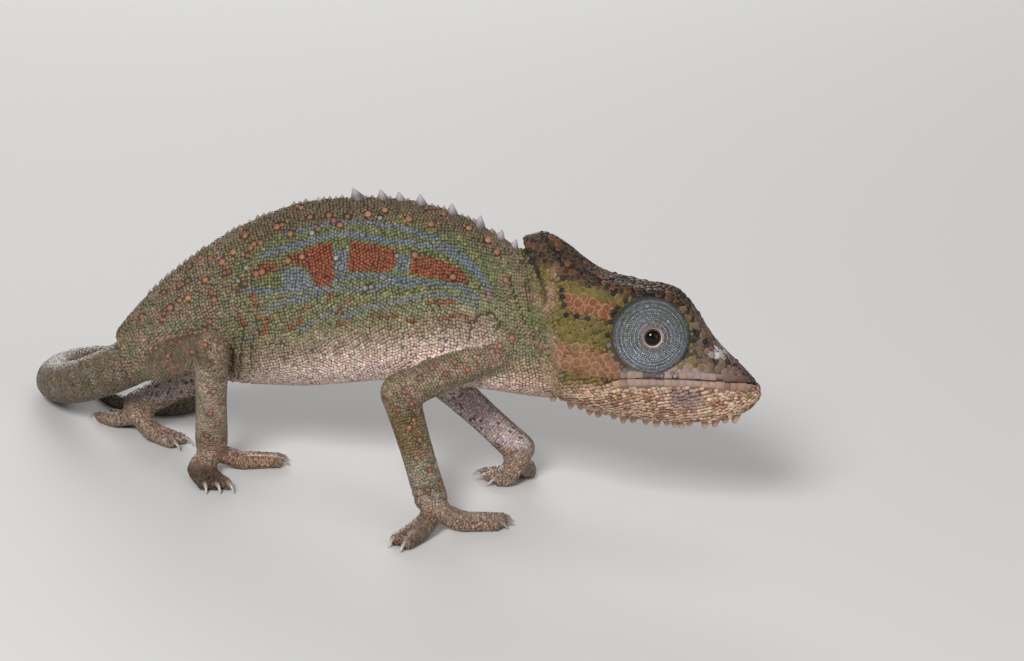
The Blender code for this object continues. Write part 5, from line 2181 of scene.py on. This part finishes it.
    def build_mouth(self) -> None:
        """The line of the mouth: a thin tube along the skin on both sides, its dark colour painted shade in
        the slit.
        """
        line = np.array(Skin().mouth, float)[::-1]
        across = np.arange(line[0, 0], line[-1, 0], 2.5)
        parts = []
        for mirrored in (False, True):
            seen = [self.coat.seen_at(x, np.interp(x, line[:, 0], line[:, 1]), mirrored) for x in across]
            path = np.array([(hit[0] - hit[1] * self.mouth_sunk) for hit in seen if hit is not None])
            radii = np.full(len(path), self.mouth_radius)
            parts.append(Tube("mouth", path, radii).grid(len(path) * 2, 8))
        shares = np.zeros(sum(len(points) for points, _ in parts))
        self.add_spikes("mouth_line", parts, shares, (0.030, 0.017, 0.013), (0.030, 0.017, 0.013), 0.4)

    def build_crests(self) -> None:
        """The cones of the back, the small ones between them, and the soft lobes of the throat."""
        rng = np.random.default_rng(SEED + 3)
        spike = Spike()
        side = STANCE.axes()[1]
        parts, tips = [], []
        crest = np.array(self.crest)
        for number, (x, z) in enumerate(crest):
            before, after = crest[max(0, number - 1)], crest[min(len(crest) - 1, number + 1)]
            along = np.array([after[0] - before[0], 0, after[1] - before[1]])
            along /= np.linalg.norm(along)
            way = np.array([-along[2], 0, along[0]]) - 0.18 * along
            way /= np.linalg.norm(way)
            grow = 0.75 + 0.25 * number / (len(crest) - 1)
            height = self.crest_height * grow + 0.0006
            tip = np.array([x, 0, z]) * MM
            root = STANCE.over_floor(tip - way * height)
            lean = -(along @ STANCE.axes()) * 0.00014
            radius = self.crest_radius * (0.8 + 0.3 * grow)
            parts.append(spike.mesh(root - lean, way @ STANCE.axes(), side, radius, height, lean))
            tips.append(np.repeat(np.linspace(0, 1, spike.rings), spike.facets))
        shares = np.concatenate(tips)
        self.add_spikes("dorsal_cones", parts, shares, (0.10, 0.075, 0.075), (0.34, 0.29, 0.32), 0.5)
        parts, shares = [], []
        for px in np.arange(150, 524, 6.0):
            root = self.trunk.ridge(np.array([px]))[0]
            if np.min(np.abs(crest[:, 0] * MM - root[0])) > 0.0006:
                way = np.array([rng.normal(0, 0.1), rng.normal(0, 0.12), 1.0])
                way /= np.linalg.norm(way)
                height = rng.uniform(0.00040, 0.00058)
                parts.append(spike.mesh(STANCE.over_floor(root - way * 0.0003), way @ STANCE.axes(), side,
                                        rng.uniform(0.00030, 0.00042), height, np.zeros(3)))
                shares.append(np.repeat(np.linspace(0, 1, spike.rings), spike.facets))
        shares = np.concatenate(shares)
        self.add_spikes("ridge_cones", parts, shares, (0.15, 0.10, 0.08), (0.26, 0.20, 0.18), 0.6)
        self.build_throat(rng)

    def build_throat(self, rng: np.random.Generator) -> None:
        """Soft lobes under the chin, in a row along the middle and smaller ones beside it.

        Args:
            rng: source of their small shifts.
        """
        lobe = Spike(10, 7, 0.36, 0.9)
        parts, shares = [], []
        side = STANCE.axes()[1]
        rows = np.array(self.head.stations)
        chin = np.stack([rows[:, 0] + rows[:, 1] * (self.head.nape_top - rows[:, 13]), rows[:, 13]], 1)
        for aside, size, shift in ((0.0, 1.0, 0.0), (0.0011, 0.45, 0.5), (-0.0011, 0.45, 0.5)):
            for number in range(0, len(self.throat) - 1, 1 if aside == 0 else 2):
                px = self.throat[number] + shift * (self.throat[number + 1] - self.throat[number])
                x = (px - VIEW.width / 2) * self.throat_scale
                z = np.interp(x / MM, chin[:, 0], chin[:, 1]) * MM + abs(aside) * 0.18
                way = np.array([rng.normal(-0.1, 0.06), aside * 250 + rng.normal(0, 0.05), -1.0])
                way /= np.linalg.norm(way)
                height = (0.00072 + 0.00014 * math.sin(number * 2.3)) * size + 0.0004
                root = STANCE.over_floor(np.array([x, aside, z]) - way * 0.0004)
                radius = 0.00050 * (0.5 + 0.5 * size)
                parts.append(lobe.mesh(root, way @ STANCE.axes(), side, radius, height, np.zeros(3)))
                shares.append(np.repeat(np.linspace(0, 1, lobe.rings), lobe.facets))
        shares = np.concatenate(shares)
        self.add_spikes("throat_lobes", parts, shares, (0.27, 0.185, 0.125), (0.46, 0.28, 0.19), 0.45)

    def build_claws(self) -> None:
        """The claws of all feet."""
        for limb in self.limbs:
            parts = limb.claws()
            shares = np.tile(np.repeat(np.linspace(0, 1, 9), 10), len(parts))
            self.add_spikes(f"claws_{limb.name}", parts, shares, (0.22, 0.17, 0.14), (0.40, 0.36, 0.32), 0.3)

    def add_spikes(self, name: str, parts: list, shares: np.ndarray, root: tuple, tip: tuple,
                   rough: float) -> None:
        """Joins cones in one piece, painted from root to tip.

        Args:
            name: the piece's name.
            parts: the points and faces of each.
            shares: 0 at the root to 1 at the tip.
            root: the colour there.
            tip: the colour there.
            rough: the finish's roughness.
        """
        piece = new_object(name, new_mesh(name, *joined(parts)))
        face_out(piece.data)
        piece.data.shade_smooth()
        below = np.tile(np.array(root), (len(shares), 1))
        paint(piece.data, blend_colour(below, tip, soft_step(0.25, 0.85, shares)))
        piece.data.materials.append(HideFinish(f"{name}_horn", rough, 0.12, 0.25).material())
        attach(piece, "root")
        LOG.info("%s: %d cones", name, len(parts))

    def regions(self, part: np.ndarray, body: np.ndarray) -> np.ndarray:
        """The number of each place's region.

        Args:
            part: the number of the part that each is on.
            body: the places in the animal's frame, in millimetres.

        Returns:
            A number each, in the order of Region.
        """
        order = list(Region)
        right = body[:, 1] < 0
        front = body[:, 0] > -15.5
        trunk = np.where(right, np.where(front, 0, 1), np.where(front, 2, 3))
        head = np.where(right, order.index(Region.HEAD_RIGHT), order.index(Region.HEAD_LEFT))
        legs = np.where(right, order.index(Region.LEGS_RIGHT), order.index(Region.LEGS_LEFT))
        return np.select([part == 0, part == 1, part == 2], [trunk, head, legs], order.index(Region.TAIL))


@dataclass(frozen=True)
class Studio:
    """The pale floor and soft lights."""

    floor_half: float = 1.5
    lamps: tuple = (
        ("key", (-0.10, -0.50, 0.34), 0.16, 3.65), ("fill", (0.45, -0.35, 0.22), 0.35, 0.6),
        ("top", (0.05, 0.25, 0.55), 0.40, 0.45), ("back", (-0.16, 0.50, 0.15), 0.30, 1.9),
    )
    sky: float = 0.26

    def build(self) -> None:
        """Lays the floor and hangs the lights."""
        half = self.floor_half
        corners = [(-half, -half, 0), (half, -half, 0), (half, half, 0), (-half, half, 0)]
        floor = new_object("floor", new_mesh("floor", np.array(corners), [[0, 1, 2, 3]]))
        floor.data.materials.append(FloorFinish().material())
        for lamp in self.lamps:
            self.lamp(*lamp)
        world = bpy.data.worlds.new("studio")
        world.use_nodes = True
        world.node_tree.nodes["Background"].inputs["Color"].default_value = (0.95, 0.96, 1.0, 1.0)
        world.node_tree.nodes["Background"].inputs["Strength"].default_value = self.sky
        bpy.context.scene.world = world

    def lamp(self, name: str, place: tuple, size: float, power: float) -> None:
        """One square light that faces the animal.

        Args:
            name: its name.
            place: where it hangs.
            size: the length of its side.
            power: in watts.
        """
        data = bpy.data.lights.new(name, "AREA")
        data.size = size
        data.energy = power
        lamp = bpy.data.objects.new(name, data)
        way = Vector((0.0, 0.0, 0.015)) - Vector(place)
        turn = way.to_track_quat("-Z", "Y").to_matrix().to_4x4()
        lamp.matrix_world = Matrix.Translation(Vector(place)) @ turn
        bpy.context.scene.collection.objects.link(lamp)


def main() -> None:
    """Builds the animal piece by piece, and its studio."""
    logging.basicConfig(level=logging.INFO, format="%(name)s: %(message)s")
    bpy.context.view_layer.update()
    VIEW.add_camera()
    bpy.context.scene.view_settings.view_transform = "Standard"
    Studio().build()
    animal = Chameleon()
    animal.build_skin()
    animal.build_coat()
    animal.build_eyes()
    animal.build_mouth()
    animal.build_crests()
    animal.build_claws()


if __name__ == "__main__":
    main()
